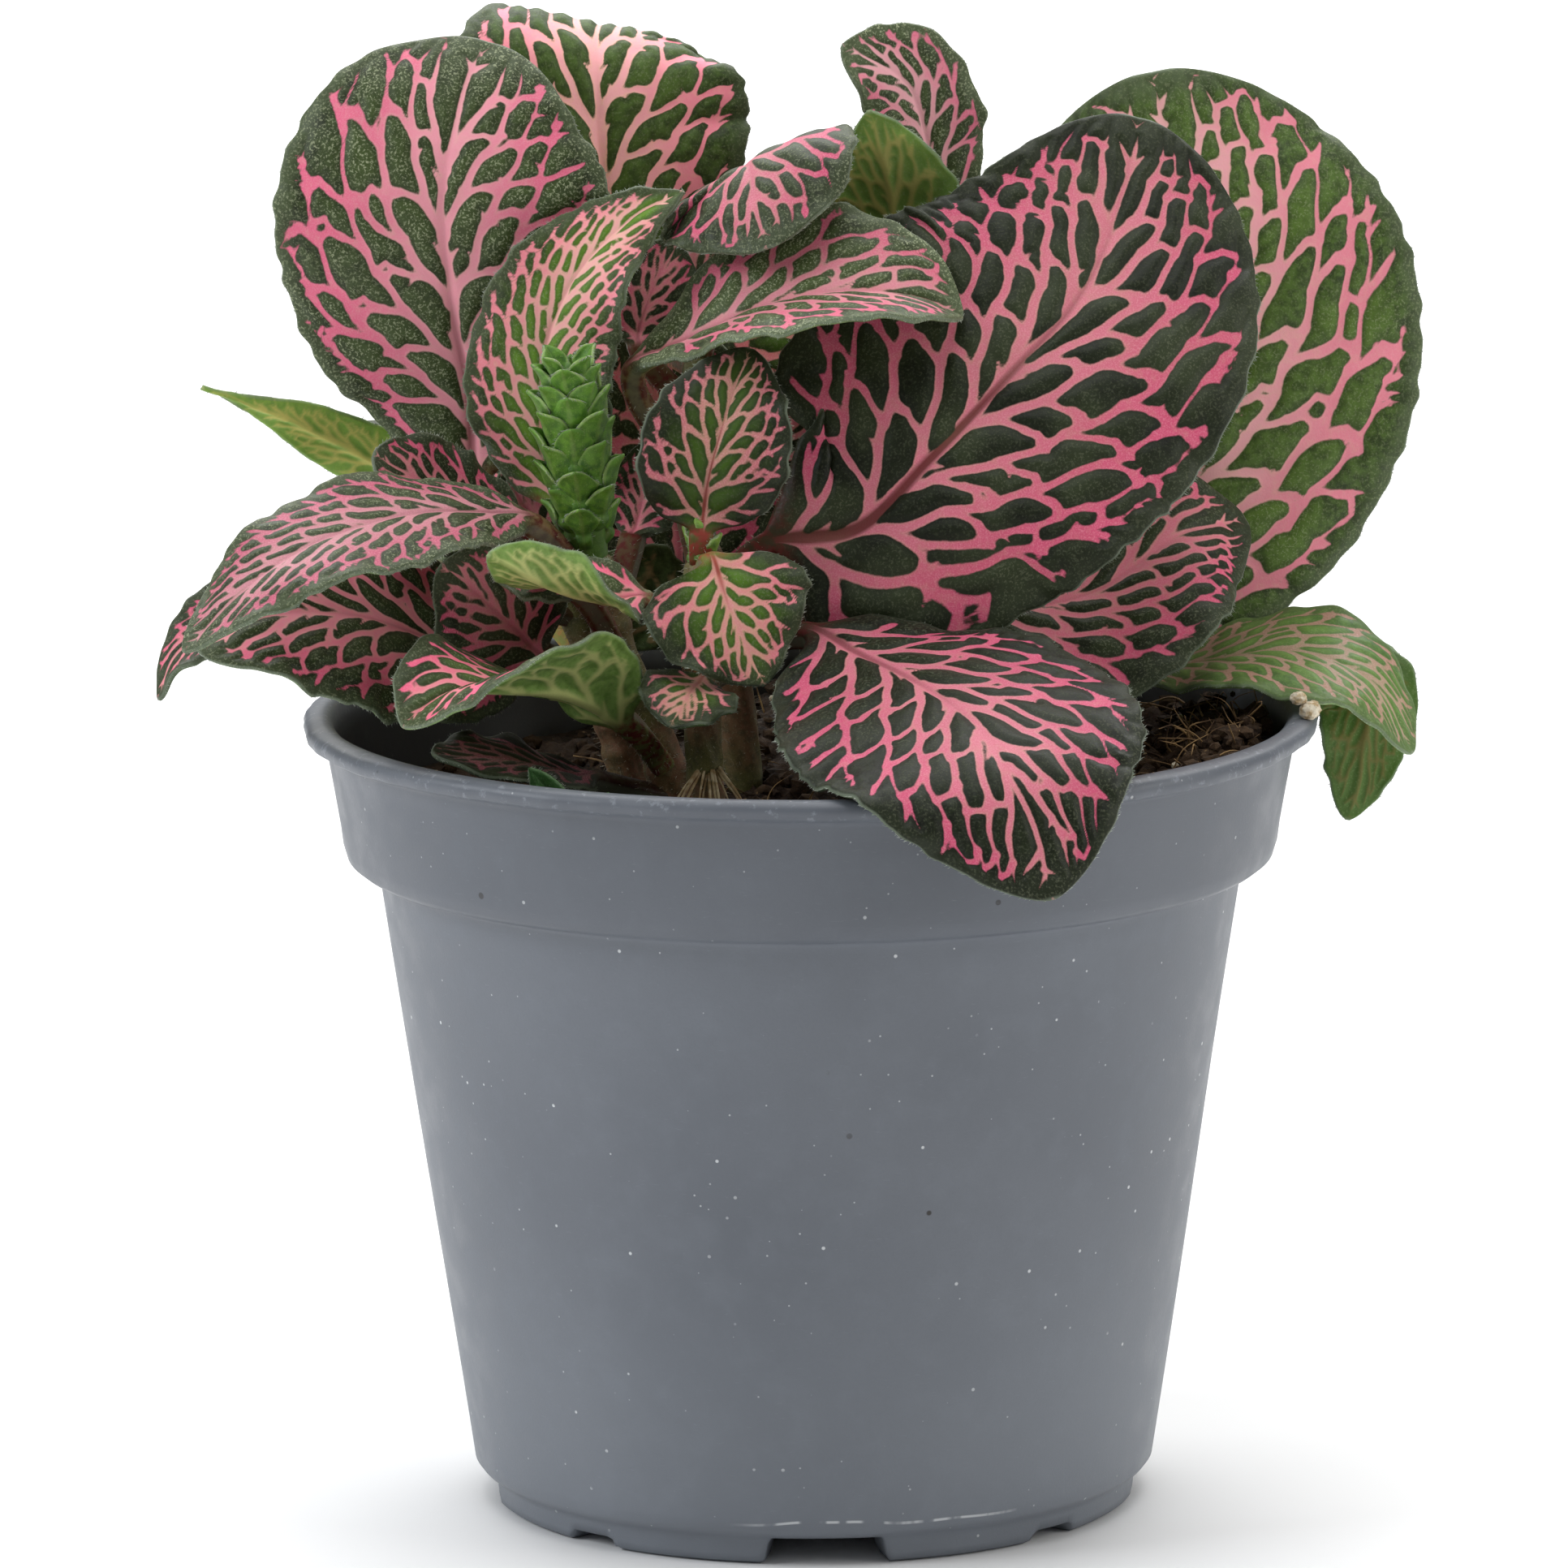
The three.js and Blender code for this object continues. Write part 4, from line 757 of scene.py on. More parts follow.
def leaf_material(name, look, shift, tone):
    """Veins, granular ground with painted glints, and a painted highlight along the rim of a blade; shift
    makes leaves differ a little.
    """
    warm = ("vein", "pale", "cream", "under_vein", "core")
    milky = {key: (*tone, 0)[2] * share for key, share in (("vein", 0.45), ("pale", 1.4), ("cream", 1.1))}
    colours = {key: value for key, value in look.items() if isinstance(value, str)}
    # the tone gains are partly each leaf's own lightness and partly painted light and shade
    paint = {key: dim(value, tone[key in warm], milky.get(key, 0)) for key, value in colours.items()}
    s = Shader(name)
    vein, edge, reach, core, top, stalk = map(s.attribute, ("vein", "edge", "reach", "core", "top", "stalk"))
    broad, middle, fine, grain = s.noise(7), s.noise(0.9, 3, 0.6), s.noise(0.22, 2, 0.65), s.noise(0.13, 1)
    ground = s.over(paint["ground"], paint["deep"], middle, 0.35, 0.68)
    inner = s.times(s.ramp(edge, 1.2, 5.5), s.ramp(broad, 0.3, 0.62, 0.0, 0.5))
    inner = s.math("MAXIMUM", inner, s.ramp(reach, 0.8, 0.1, 0.0, look["glow"]))
    ground = s.mix(inner, ground, paint["bright"])
    ground = s.over(ground, paint["deep"], vein, 0.5, 0.0, 0.55)
    ground = s.over(ground, paint["band"], edge, 2.4, 0.5, 0.75)
    # painted glints: pale specks on the ground, most of them away from the veins, stand in for highlights off
    # the leaf's fine grain
    painted_glints = s.times(s.ramp(fine, 0.5, 0.66), s.ramp(broad, 0.25, 0.75, 0.35, 1.0))
    painted_glints = s.times(painted_glints, s.ramp(vein, 0.0, 0.7, 0.3, look["sparkle"]))
    ground = s.mix(painted_glints, ground, paint["spark"])
    wobble = s.math("MULTIPLY_ADD", middle, 0.16, s.math("MULTIPLY_ADD", fine, 0.08, -0.12))
    rough_vein = s.math("ADD", vein, wobble)
    outer = s.math("ADD", reach, s.times(broad, 0.3))
    pink = s.over(paint["pale"], paint["vein"], outer, 0.2, 0.85)
    rim = s.over(paint["cream"], paint["vein"], reach, 0.2, 0.8)
    pink = s.over(pink, rim, rough_vein, -0.2, 0.06, 0.6)
    pink = s.over(pink, "#F7B3BE", grain, 0.4, 0.75, 0.28)
    pink = s.over(pink, paint["cream"], middle, 0.45, 0.75, 0.25)
    pink = s.mix(s.times(core, 0.9), pink, paint["core"])
    face = s.over(ground, pink, rough_vein, 0.1, -0.05)
    below = s.over(paint["under"], paint["bright"], middle, 0.3, 0.7)
    below = s.over(below, "#8C9C6C", fine, 0.5, 0.75, 0.35)
    below = s.over(below, paint["under_vein"], vein, 0.22, -0.2, 0.9)
    color = s.mix(stalk, s.mix(top, below, face), s.over(paint["stalk"], paint["core"], middle, 0.35, 0.65))
    # painted highlight: the very rim of the blade lighter, as where light catches the edge
    color = s.over(color, "#84907C", edge, 0.24, 0.02, 0.5)
    color = s.over(color, "#000000" if shift < 0 else "#8FA070", broad, 0.3, 0.7, 0.05 + 0.08 * abs(shift))
    normal = s.bump(fine, 0.035, 0.7, s.bump(middle, 0.05, 0.5))
    fixed = dict(Specular_IOR_Level=0.22, Sheen_Weight=0.03, Sheen_Roughness=0.4)
    return s.finish(color, s.ramp(fine, 0.3, 0.7, 0.38, 0.62), normal, **fixed)


# ---------------------------------------------------------------- leaves

HAIRS = {"blade": [], "stem": []}
# gap between side veins for a leaf of fineness 1, and gaps between the points of a leaf's skin
SIDE_VEIN_GAP = 7.6
QUICK_STEP, HIDDEN_STEP = 0.5, 0.34
STEM_ROWS, STEM_SIDES, STEM_HAIRS = 140, 40, 420


def add_hairs(kind, points, ways, spread, shortest, longest, rng):
    ways = ways + rng.normal(0, spread, points.shape)
    HAIRS[kind].append((points, ways, rng.uniform(shortest, longest, len(points))))


def margin_hairs(b, first, gap, tilt, shortest, longest, rng):
    """Hairs along both margins of a blade, from its first row on."""
    for side, column in ((-1, 0), (1, -1)):
        line = Path(b["middle"][first:, column])
        share = np.sort(rng.random(int(line.length / gap)))
        ways = b["across"][first:] * side + tilt * b["normal"][first:, column]
        outward = np.stack([np.interp(share * line.length, line.at, part) for part in ways.T], -1)
        add_hairs("blade", line.point(share), outward, 0.3, shortest, longest, rng)


def stalk_hairs(b, upper, under, stalk_rows, rng):
    """Hairs round the petiole."""
    columns = upper.shape[1] - 1
    spots = rng.choice(stalk_rows, stalk_rows * 5)
    turn = rng.uniform(-1, 1, len(spots))
    flip = rng.choice([-1, 1], len(spots))
    cols = ((turn + 1) / 2 * columns).astype(int)
    skin = np.where((flip > 0)[:, None], upper[spots, cols], under[spots, cols])
    add_hairs("stem", skin, unit(skin - b["middle"][spots, columns // 2]), 0.25, 0.25, 0.6, rng)


def round_stalk(spec, v, flat, blend):
    """Half the thickness of a blade that starts as a round petiole."""
    return spec["stalk"] * np.sqrt(np.clip(1 - flat * v**2, 0, 1)) * (1 - blend)


def leaf_veins(spec, b, edge, rng):
    """How far each point of the blade lies outside its veins."""
    fine, v = spec["fine"], b["v"]
    half = half_width(spec, b["u"])
    along = np.repeat(b["before"][:, None], v.shape[1], 1)
    across = v * half
    phases = rng.uniform(0, 6, 4)
    sway = np.sin(along / (2.1 * fine) + across / (3.7 * fine) + phases[0])
    sway = sway + np.sin(along / 4.3 - across / 2.3 + phases[1])
    roll = np.sin(across / (1.7 * fine) + along / (3.1 * fine) + phases[2])
    roll = roll + np.sin(along / 2.9 - across / 5 + phases[3])
    calm = fine * np.clip(np.abs(across) / 1.5, 0, 1)
    lines = vein_lines(spec, b["length"], lambda at: float(half_width(spec, np.array(at))), rng)
    blend = fine * (0.17 - 0.09 * smooth(3.4 * fine, 1.4 * fine, edge))
    vein = vein_field(lines, along + 0.2 * sway * calm, across + 0.17 * roll * calm, b["before"], blend)
    return vein + 0.26 * fine * smooth(2.2 * fine, 0.7 * fine, edge)


def make_leaf(name, spec, index):
    rng = np.random.default_rng(LEAF_SEED + index)
    width, rib = spec["width"], spec["rib"]
    fine = spec.get("fine", float(np.clip((width / 36) ** 0.55, 0.42, 1.02)))
    root = STEM_PATHS[spec["stem"]].point(spec["at"])
    hidden = name.startswith(("leaf_rear", "young")) or name == "leaf_heart_dark"
    step = HIDDEN_STEP if hidden else float(np.interp(width, [12, 22, 36], [0.17, 0.21, 0.25]))
    step = step
    size = Path(catmull(rib)).length
    spec = {"bold": 0.92, **spec, "fine": fine}
    spec["pairs"] = int(np.clip(round(size / (SIDE_VEIN_GAP * fine)), 5, 10))
    spec["sweep"] = float(np.clip(0.45 + 0.6 * width / size, 0.6, 1.1))
    stalk_rows = max(4, round(np.linalg.norm(np.array(rib[0]) - root) / 0.6))
    rows, columns = max(16, round(size / step)), 2 * max(8, round(width / step / 2))
    b = blade(spec, root, rib, rows, columns, stalk_rows, rng)
    u, v, middle, normal = b["u"], b["v"], b["middle"], b["normal"]
    half = half_width(spec, u)
    across = v * half
    edge = np.minimum((1 - np.abs(v)) * half, (1 - u) * b["length"] * 0.6)
    vein = leaf_veins(spec, b, edge, rng)
    grown = smooth(0.0, 0.1, u)
    relief = 0.3 * fine * (smooth(-0.1, 0.9, vein) - 0.5) * grown * smooth(0, 1.4, edge)
    groove = 0.28 * fine * np.exp(-((across / (0.55 * fine)) ** 2)) * (1 - u) ** 0.7 * grown
    thick = 0.24 * np.sqrt(1 - (1 - np.clip(edge / 0.35, 0, 1)) ** 2) + 0.03
    blend = np.clip(u / 0.12, 0, 1)
    depth = round_stalk(spec, v, 0.985, blend) + thick * blend
    ridge = 0.75 * fine * np.exp(-((across / (0.8 * fine)) ** 2)) * (1 - u) ** 0.8 * grown
    backs = 0.1 * fine * smooth(0.25, -0.1, vein) * grown * smooth(0, 1.0, edge)
    upper = middle + normal * (relief - groove + depth)[..., None]
    under = middle + normal * (relief - depth - ridge - backs)[..., None]
    verts, faces, uvs = close_sheet(upper, under)
    red_width = fine * (0.2 + 0.62 * (1 - u) ** 1.7) * spec.get("red_width", 1)
    red, far = spec.get("red", (0.7 if width > 20 else 0.45, 0.7))
    core = np.clip(smooth(0.85, 0.25, np.abs(across) / red_width) * smooth(far, 0.05, u) * red, 0, 1)
    whole = np.ones_like(across)
    petiole = smooth(0.07, 0.0, u)
    fields = dict(vein=vein, edge=edge, reach=np.abs(v) * whole, core=core, stalk=petiole * whole)
    attributes = {key: np.tile(value.ravel(), 2) for key, value in fields.items()}
    attributes["top"] = np.repeat([1, 0], across.size)
    obj = build("fine_" + name, verts, faces, attributes, uvs)
    look = LOOKS[spec.get("skin", spec["look"])]
    material = leaf_material(name + "_skin", look, rng.uniform(-1, 1), spec.get("tone", (1, 1)))
    finish_piece(obj, material, "leaf_" + spec["look"], *([name] if name.startswith("leaf") else []))
    margin_hairs(b, np.searchsorted(u[:, 0], 0.03), 0.5 if hidden else 0.2, 0, 0.14, 0.4, rng)
    stalk_hairs(b, upper, under, stalk_rows, rng)


for index, (name, spec) in enumerate(LEAVES.items()):
    make_leaf(name, spec, index)

# ---------------------------------------------------------------- stems


def make_stem(name, radius, index):
    rng = np.random.default_rng(STEM_SEED + index)
    joints = rng.uniform(0.35, 0.95, 3)

    def radius_at(share, angle):
        swell = sum(0.16 * np.exp(-(((share - j) * 40) ** 2)) for j in joints)
        ribs = 0.05 * np.cos(4 * angle + index) + 0.03 * np.sin(7 * angle + 60 * share)
        ends = np.sqrt(np.clip(1 - ((share - 0.97) / 0.03).clip(0, 1) ** 2 * 0.96, 0, 1))
        return radius * (1.0 - 0.12 * share + swell + ribs) * ends

    verts, faces, share, outward = tube(STEM_PATHS[name], radius_at, STEM_ROWS, STEM_SIDES)
    s = Shader(name + "_skin")
    middle, fine, broad = s.noise(0.8, 3), s.noise(0.15), s.noise(5)
    tone = s.over("#6B6A38", "#8A5F45", broad, 0.35, 0.65)
    tone = s.over(tone, "#4B4A2A", middle, 0.45, 0.7, 0.6)
    tone = s.over(tone, "#A59B7A", fine, 0.5, 0.75, 0.5)
    material = s.finish(tone, s.ramp(fine, 0.3, 0.7, 0.45, 0.7), s.bump(fine, 0.05, 0.8), Sheen_Weight=0.1)
    finish_piece(build("fine_" + name, verts, faces, {"share": share}), material, "stem", name)
    picks = rng.choice(np.arange(STEM_SIDES, len(share) - 2), STEM_HAIRS)
    add_hairs("stem", verts[picks], outward[picks], 0.3, 0.3, 0.8, rng)


for index, (name, (radius, _)) in enumerate(STEMS.items()):
    make_stem(name, radius, index)

# ---------------------------------------------------------------- flower spike, terminal bud and shoots


def green_material(name, dark, light, edge_tone):
    s = Shader(name)
    reach, along = s.attribute("reach"), s.attribute("along")
    middle, fine = s.noise(0.7, 3), s.noise(0.14)
    tone = s.over(dark, light, middle, 0.3, 0.7)
    tone = s.over(tone, light, along, 0.35, 1.0, 0.55)
    tone = s.over(tone, edge_tone, reach, 0.14, 0.02, 0.2)
    tone = s.over(tone, edge_tone, reach, 0.82, 1.0, 0.7)
    tone = s.over(tone, edge_tone, fine, 0.55, 0.75, 0.4)
    # painted shade: each blade darker towards its foot, where it tucks in among the others
    tone = s.mix(s.times(s.ramp(along, 0.3, 0.0), 0.45), tone, dark)
    return s.finish(tone, s.ramp(fine, 0.3, 0.7, 0.4, 0.62), s.bump(fine, 0.05, 0.8), Sheen_Weight=0.05)


def small_blade(spec, root, rib, rows, columns, rng, thick=0.16):
    """A bract or leaflet: points and faces, then reach, place along it and side of each point."""
    b = blade(spec, root, rib, rows, columns, 3, rng)
    u, v = b["u"], b["v"]
    half = half_width(spec, u)
    edge = (1 - np.abs(v)) * half
    skin = thick * np.sqrt(1 - (1 - np.clip(edge / 0.3, 0, 1)) ** 2) + 0.03
    keel = 0.1 * np.exp(-((v * half / 0.35) ** 2)) * (1 - u) * np.clip(u / 0.1, 0, 1)
    blend = np.clip(u / 0.15, 0, 1)
    depth = round_stalk(spec, v, 0.97, blend) + skin * blend
    upper = b["middle"] + b["normal"] * depth[..., None]
    under = b["middle"] - b["normal"] * (depth + keel)[..., None]
    verts, faces, _ = close_sheet(upper, under)
    margin_hairs(b, 3, 0.1, 0.5, 0.15, 0.45, rng)
    whole = np.ones_like(edge)
    reach, along = (np.tile((share * whole).ravel(), 2) for share in (np.abs(v), u))
    return verts, faces[0], reach, along, np.repeat([1, 0], edge.size)


def join_sheets(name, sheets, material, slot, *nodes):
    """Several closed sheets as one piece."""
    starts = np.cumsum([0] + [len(sheet[0]) for sheet in sheets])
    verts, _, reach, along, top = (np.concatenate(parts) for parts in zip(*sheets))
    quads = np.concatenate([sheet[1] + start for sheet, start in zip(sheets, starts)])
    obj = build(name, verts, [quads], dict(reach=reach, along=along, top=top))
    return finish_piece(obj, material, slot, *nodes)


def make_spike(tiers=10):
    """Tiers of four bracts round a core, made upright and then leant over."""
    rng = np.random.default_rng(SPIKE_SEED)
    foot, tip = np.array([-19.5, -6, 86.4]), np.array([-21.3, -7.5, 106])
    height, up = np.linalg.norm(tip - foot), unit(tip - foot)
    side = unit(np.cross(up, [0.1, 1, 0]))
    turn = np.stack([side, np.cross(up, side), up])
    hairs_before = len(HAIRS["blade"])
    sheets = []
    for tier in range(tiers):
        share = tier / (tiers - 1)
        bulge = math.sin(math.pi * share)
        size = (0.8 + 0.25 * bulge) * (1 - 0.1 * share)
        base = height * (0.06 + 0.7 * share)
        radius = 2.1 * (0.8 + 0.3 * bulge - 0.4 * share)
        for k in range(4):
            angle = (k + 0.5 * (tier % 2)) * math.pi / 2 + rng.normal(0, 0.06)
            outward = np.array([math.cos(angle), math.sin(angle), 0])
            reach = 4.9 * size * rng.uniform(0.93, 1.07)
            lean = rng.uniform(0.75, 1.2)
            curl = ((0.35, 0.18), (1.05, 0.48), (1.45, 0.76), (2.0, 0.97))
            rib = [outward * (radius + r * lean) + [0, 0, base + z * reach] for r, z in curl]
            spec = dict(width=4.3 * size, widest=0.46, blunt=0.95, fold=-20, cup=-22, wave=0, stalk=0.7)
            spec |= dict(tip=0.07, frill=0.16, across=(-math.sin(angle), math.cos(angle), 0))
            verts, *rest = small_blade(spec, outward * (radius - 0.9) + [0, 0, base - 0.4], rib, 28, 20, rng)
            sheets.append((verts @ turn + foot, *rest))
    material = green_material("spike_skin", "#3A661A", "#64962A", "#A3BC70")
    join_sheets("fine_flower_spike", sheets, material, "spike", "flower_spike")
    core = Path(catmull([(0, 0, -0.6), (0, 0, height * 0.4), (0, 0, height * 0.88)]))
    swell = lambda share, angle: 2.0 * np.sin(math.pi * (0.3 + 0.69 * share)) ** 0.7 + 0 * angle
    verts, faces, *_ = tube(core, swell, 40, 24)
    finish_piece(build("spike_core", verts @ turn + foot, faces), material, "spike")
    for i, (points, ways, lengths) in enumerate(HAIRS["blade"][hairs_before:], hairs_before):
        HAIRS["blade"][i] = (points @ turn + foot, ways @ turn, lengths)


def make_bud_and_shoots():
    rng = np.random.default_rng(BUD_SEED)
    foot, bud, shoots = np.array([-9.4, -12.6, 86.2]), [], []
    leaflets = ((250, 0.9, 4.6, 2.6), (70, 0.5, 5.4, 2.4), (335, 1.4, 3.2, 2.2), (160, 1.2, 3.6, 2.3))
    for degrees, lean, tall, wide in leaflets:
        angle = math.radians(degrees)
        way = np.array([math.cos(angle), math.sin(angle), 0])
        rib = [foot + way * (0.5 + lean * t) + [0, 0, tall * t] for t in (0.25, 0.6, 1.0)]
        spec = dict(width=wide, widest=0.42, blunt=0.9, fold=22, cup=10, wave=0.1, stalk=0.6, tip=0.07)
        spec |= dict(frill=0.05, across=(math.sin(angle), -math.cos(angle), 0))
        bud.append(small_blade(spec, foot, rib, 22, 14, rng))
    join_sheets("terminal_bud", bud, green_material("bud_skin", "#3E6B22", "#7FA63C", "#B7C98E"), "spike")
    left = ((0.9, 0.2, 0.3), (-21.5, -22.5, 66), (-24.5, -24, 70.5))
    right = ((0.9, -0.3, 0.2), (-19, -22.6, 65), (-17.6, -25, 68.4))
    for across, *rib in (left, right):
        spec = dict(width=2.6, widest=0.45, blunt=0.7, fold=10, cup=0, wave=0.1, stalk=0.8, tip=0.1)
        spec |= dict(frill=0.04, across=across)
        shoots.append(small_blade(spec, (-20, -21, 60), rib, 26, 14, rng, 0.2))
    material = green_material("sprout_skin", "#2C5126", "#477A3C", "#86A878")
    join_sheets("fine_sprouts", shoots, material, "sprout", "sprouts")


make_spike()
make_bud_and_shoots()

# ---------------------------------------------------------------- pot

# radius and height, up the outside from the middle of the foot and down the inside
POT_OUTER = [
    (0, 0), (10.2, 0), (11, 0.3), (11.8, 2.1), (12.4, 2.4), (22.4, 2.4), (23.2, 2), (23.9, 0.4), (24.6, 0),
    (28.2, 0), (28.8, 0.35), (28.95, 1), (29, 2), (29.3, 2.6), (30, 3), (30.45, 3.6), (30.6, 4.6),
    (33.2, 22), (35.8, 39.5), (38.4, 56.6), (38.5, 57.2), (38.8, 57.75), (39.6, 57.95), (40.6, 58.05),
    (41.3, 58.6), (41.65, 59.8), (41.85, 61.4), (42.4, 65), (42.95, 68.6), (43.15, 69.1), (43.7, 69.35),
    (44.4, 69.4), (44.85, 69.7), (45, 70.3), (44.8, 70.8), (44.3, 71.1), (43.6, 71.2), (42.9, 71.1),
]
POT_INNER = [
    (42.3, 70.6), (42.1, 69), (41.5, 65), (40.9, 61.2), (40.5, 60), (39.8, 59.2), (38.6, 58.9), (38, 58.6),
    (37.65, 57.6), (37.5, 56.4), (34.9, 39), (32.2, 21.5), (29.7, 5.4), (29.2, 4), (28.4, 3.4), (0, 3.3),
]
NOTCH_CIRCLE, NOTCH_TWIST, DEEP_NOTCH, SHALLOW_NOTCH = 27, 2, 2.45, 1.15
DRAIN_HOLES, DRAIN_CIRCLE = 6, 18


def drill_drain(obj, turn):
    x, y = DRAIN_CIRCLE * math.cos(turn), DRAIN_CIRCLE * math.sin(turn)
    hole = Path(catmull([(x, y, z) for z in (1.2, 2.8, 4.6)]))
    verts, faces, *_ = tube(hole, lambda share, angle: 2.5 + 0.3 * share + 0 * angle, 6, 48)
    drill = build("drill", verts, faces)
    cut = obj.modifiers.new("drain", "BOOLEAN")
    cut.object, cut.operation, cut.solver = drill, "DIFFERENCE", "EXACT"
    bpy.context.view_layer.update()
    carved = bpy.data.meshes.new_from_object(obj.evaluated_get(bpy.context.evaluated_depsgraph_get()))
    obj.modifiers.clear()
    obj.data = carved
    bpy.data.objects.remove(drill)


def pot_rings(turns=480):
    """The pot's wall as rings of points, with the foot's notches and the lip's unevenness."""
    points = []
    line = [np.array(p, float) for p in POT_OUTER + POT_INNER]
    for a, b in zip(line, line[1:]):
        pieces = max(1, int(np.linalg.norm(b - a) / 1.6))
        points += [a + (b - a) * k / pieces for k in range(pieces)]
    profile = np.array(points[1:])
    angle = np.linspace(0, FULL_TURN, turns, endpoint=False)
    radius, height = (np.repeat(part[:, None], turns, 1) for part in profile.T)
    around = (np.degrees(angle) + 90 - NOTCH_TWIST) % 90
    deep = np.minimum(around, 90 - around) * math.pi / 180 * NOTCH_CIRCLE
    shallow = np.abs(around - 45) * math.pi / 180 * NOTCH_CIRCLE
    foot = (radius > 23.0) & (radius < 29.05) & (height < 2.3)
    height = np.where(foot, height + (DEEP_NOTCH - height) * smooth(5.3, 4.6, deep), height)
    height = np.where(foot, np.maximum(height, SHALLOW_NOTCH * smooth(2.9, 2.0, shallow)), height)
    lip = smooth(43.2, 44.6, radius) * (height > 60)
    ragged = 0.1 * np.sin(9 * angle + 1) + 0.07 * np.sin(23 * angle) + 0.05 * np.sin(57 * angle + 2)
    radius = radius + lip * ragged[None, :] * 0.9
    high = smooth(60, 71, height)
    radius = radius + high * 0.22 * np.cos(2 * angle + 0.6)[None, :] + 0.05 * np.sin(5 * angle + height / 9)
    height = height + lip * 0.12 * np.sin(3 * angle + 1)[None, :]
    return np.stack([radius * np.cos(angle), radius * np.sin(angle), height], -1)


def pot_material():
    s = Shader("pot_skin")
    x, y, z = s.axes()
    broad, middle, fine = s.noise(28, 3), s.noise(4, 4, 0.6), s.noise(0.25)
    tone = s.over("#62676F", "#6A6F77", broad, 0.3, 0.7)
    tone = s.over(tone, "#7E848C", middle, 0.4, 0.75, 0.22)
    tone = s.over(tone, "#5C6169", fine, 0.4, 0.7, 0.12)
    dust = s.times(s.ramp(s.cells(2.6), 0.075, 0.045), s.ramp(s.noise(3.1, 0), 0.44, 0.5))
    dust = s.times(dust, s.ramp(s.noise(11, 1), 0.3, 0.5))
    tiny = s.times(s.ramp(s.cells(1.3), 0.085, 0.05), s.ramp(s.noise(2.3, 0), 0.55, 0.6))
    tone = s.mix(s.math("MAXIMUM", dust, s.times(tiny, 0.7)), tone, "#C9CCCE")
    dark = s.times(s.ramp(s.cells(9), 0.04, 0.028), s.ramp(s.noise(8, 0), 0.5, 0.55))
    tone = s.mix(dark, tone, "#33302E")
    # painted shade: the collar, above the ledge at about 58 mm, darker, as under the leaves
    tone = s.over(tone, "#50545B", z, 0.0573, 0.0585, 0.36)
    # painted light: the wall lighter towards the foot, as from light thrown up off the floor
    tone = s.over(tone, "#8E949C", z, 0.03, 0.006, 0.26)
    scuff = s.noise(1.2, 3, 0.7, s.stretched((1, 1, 6)))
    tone = s.over(tone, "#8D9299", scuff, 0.62, 0.78, 0.22)
    lip = s.times(s.ramp(z, 0.0689, 0.0696), s.ramp(s.noise(0.9, 3, 0.65), 0.56, 0.7, 0, 0.3))
    tone = s.mix(lip, tone, "#A3A9B1")
    # a whitish scrape along the front of the foot
    above = s.math("ADD", z, s.math("MULTIPLY_ADD", s.noise(9, 1), -0.0012, -0.0034))
    scrape = s.ramp(s.math("ABSOLUTE", above), 0.00017, 0.00006)
    scrape = s.times(scrape, s.ramp(s.noise(2.1, 2, 0.6, s.stretched((1, 1, 0))), 0.42, 0.56))
    scrape = s.times(scrape, s.times(s.ramp(x, -0.008, -0.002), s.ramp(x, 0.02, 0.013)))
    tone = s.mix(s.times(scrape, s.ramp(y, 0.0, -0.005)), tone, "#C4C7CA")
    # painted shade: the inside of the wall, from just under the rim down, darkened almost to black
    painted_inner_shade = s.ramp(s.math("MULTIPLY_ADD", middle, 0.002, z), 0.0712, 0.0685)
    painted_inner_shade = s.times(s.ramp(s.inward(), 0.01, 0.02), painted_inner_shade)
    tone = s.mix(s.times(painted_inner_shade, 0.88), tone, "#1C1A18")
    normal = s.bump(fine, 0.02, 0.5, s.bump(middle, 0.04, 0.25))
    return s.finish(tone, s.ramp(middle, 0.3, 0.7, 0.4, 0.52), normal, Specular_IOR_Level=0.45)


pot = build("fine_pot", *ring_skin(pot_rings(), (0, 0, 0), (0, 0, 3.3)))
for k in range(DRAIN_HOLES):
    drill_drain(pot, FULL_TURN * k / DRAIN_HOLES)
finish_piece(pot, pot_material(), "pot_plastic", "pot")

# ---------------------------------------------------------------- soil

SOIL_LEVEL, HEAP_RISE = 62.4, 4.6


def soil_height(x, y):
    heap = smooth(-18, 42, x + 0.55 * y)
    broad = np.sin(0.41 * x + 1.3) * np.cos(0.37 * y - 0.4)
    return SOIL_LEVEL + HEAP_RISE * heap + 0.8 * (0.6 * broad + 0.36 * np.sin(0.83 * x - 0.71 * y))


def rough_noise(points, size, octaves=4):
    return np.array([noise.fractal(Vector(p) / size, 0.8, 2.1, octaves) for p in points])


def soil_material(name, dark, light):
    s = Shader(name)
    middle, fine, broad = s.noise(1.4, 4, 0.65), s.noise(0.3, 3, 0.6), s.noise(9)
    tone = s.over(dark, light, middle, 0.3, 0.72)
    tone = s.over(tone, "#463425", broad, 0.45, 0.7, 0.5)
    tone = s.over(tone, "#6B5138", fine, 0.58, 0.74, 0.5)
    tone = s.over(tone, "#8F7550", s.cells(1.7), 0.1, 0.05, 0.55)
    return s.finish(tone, 0.93, s.bump(fine, 0.14, 1.0, s.bump(middle, 0.3, 1.0)), Specular_IOR_Level=0.25)


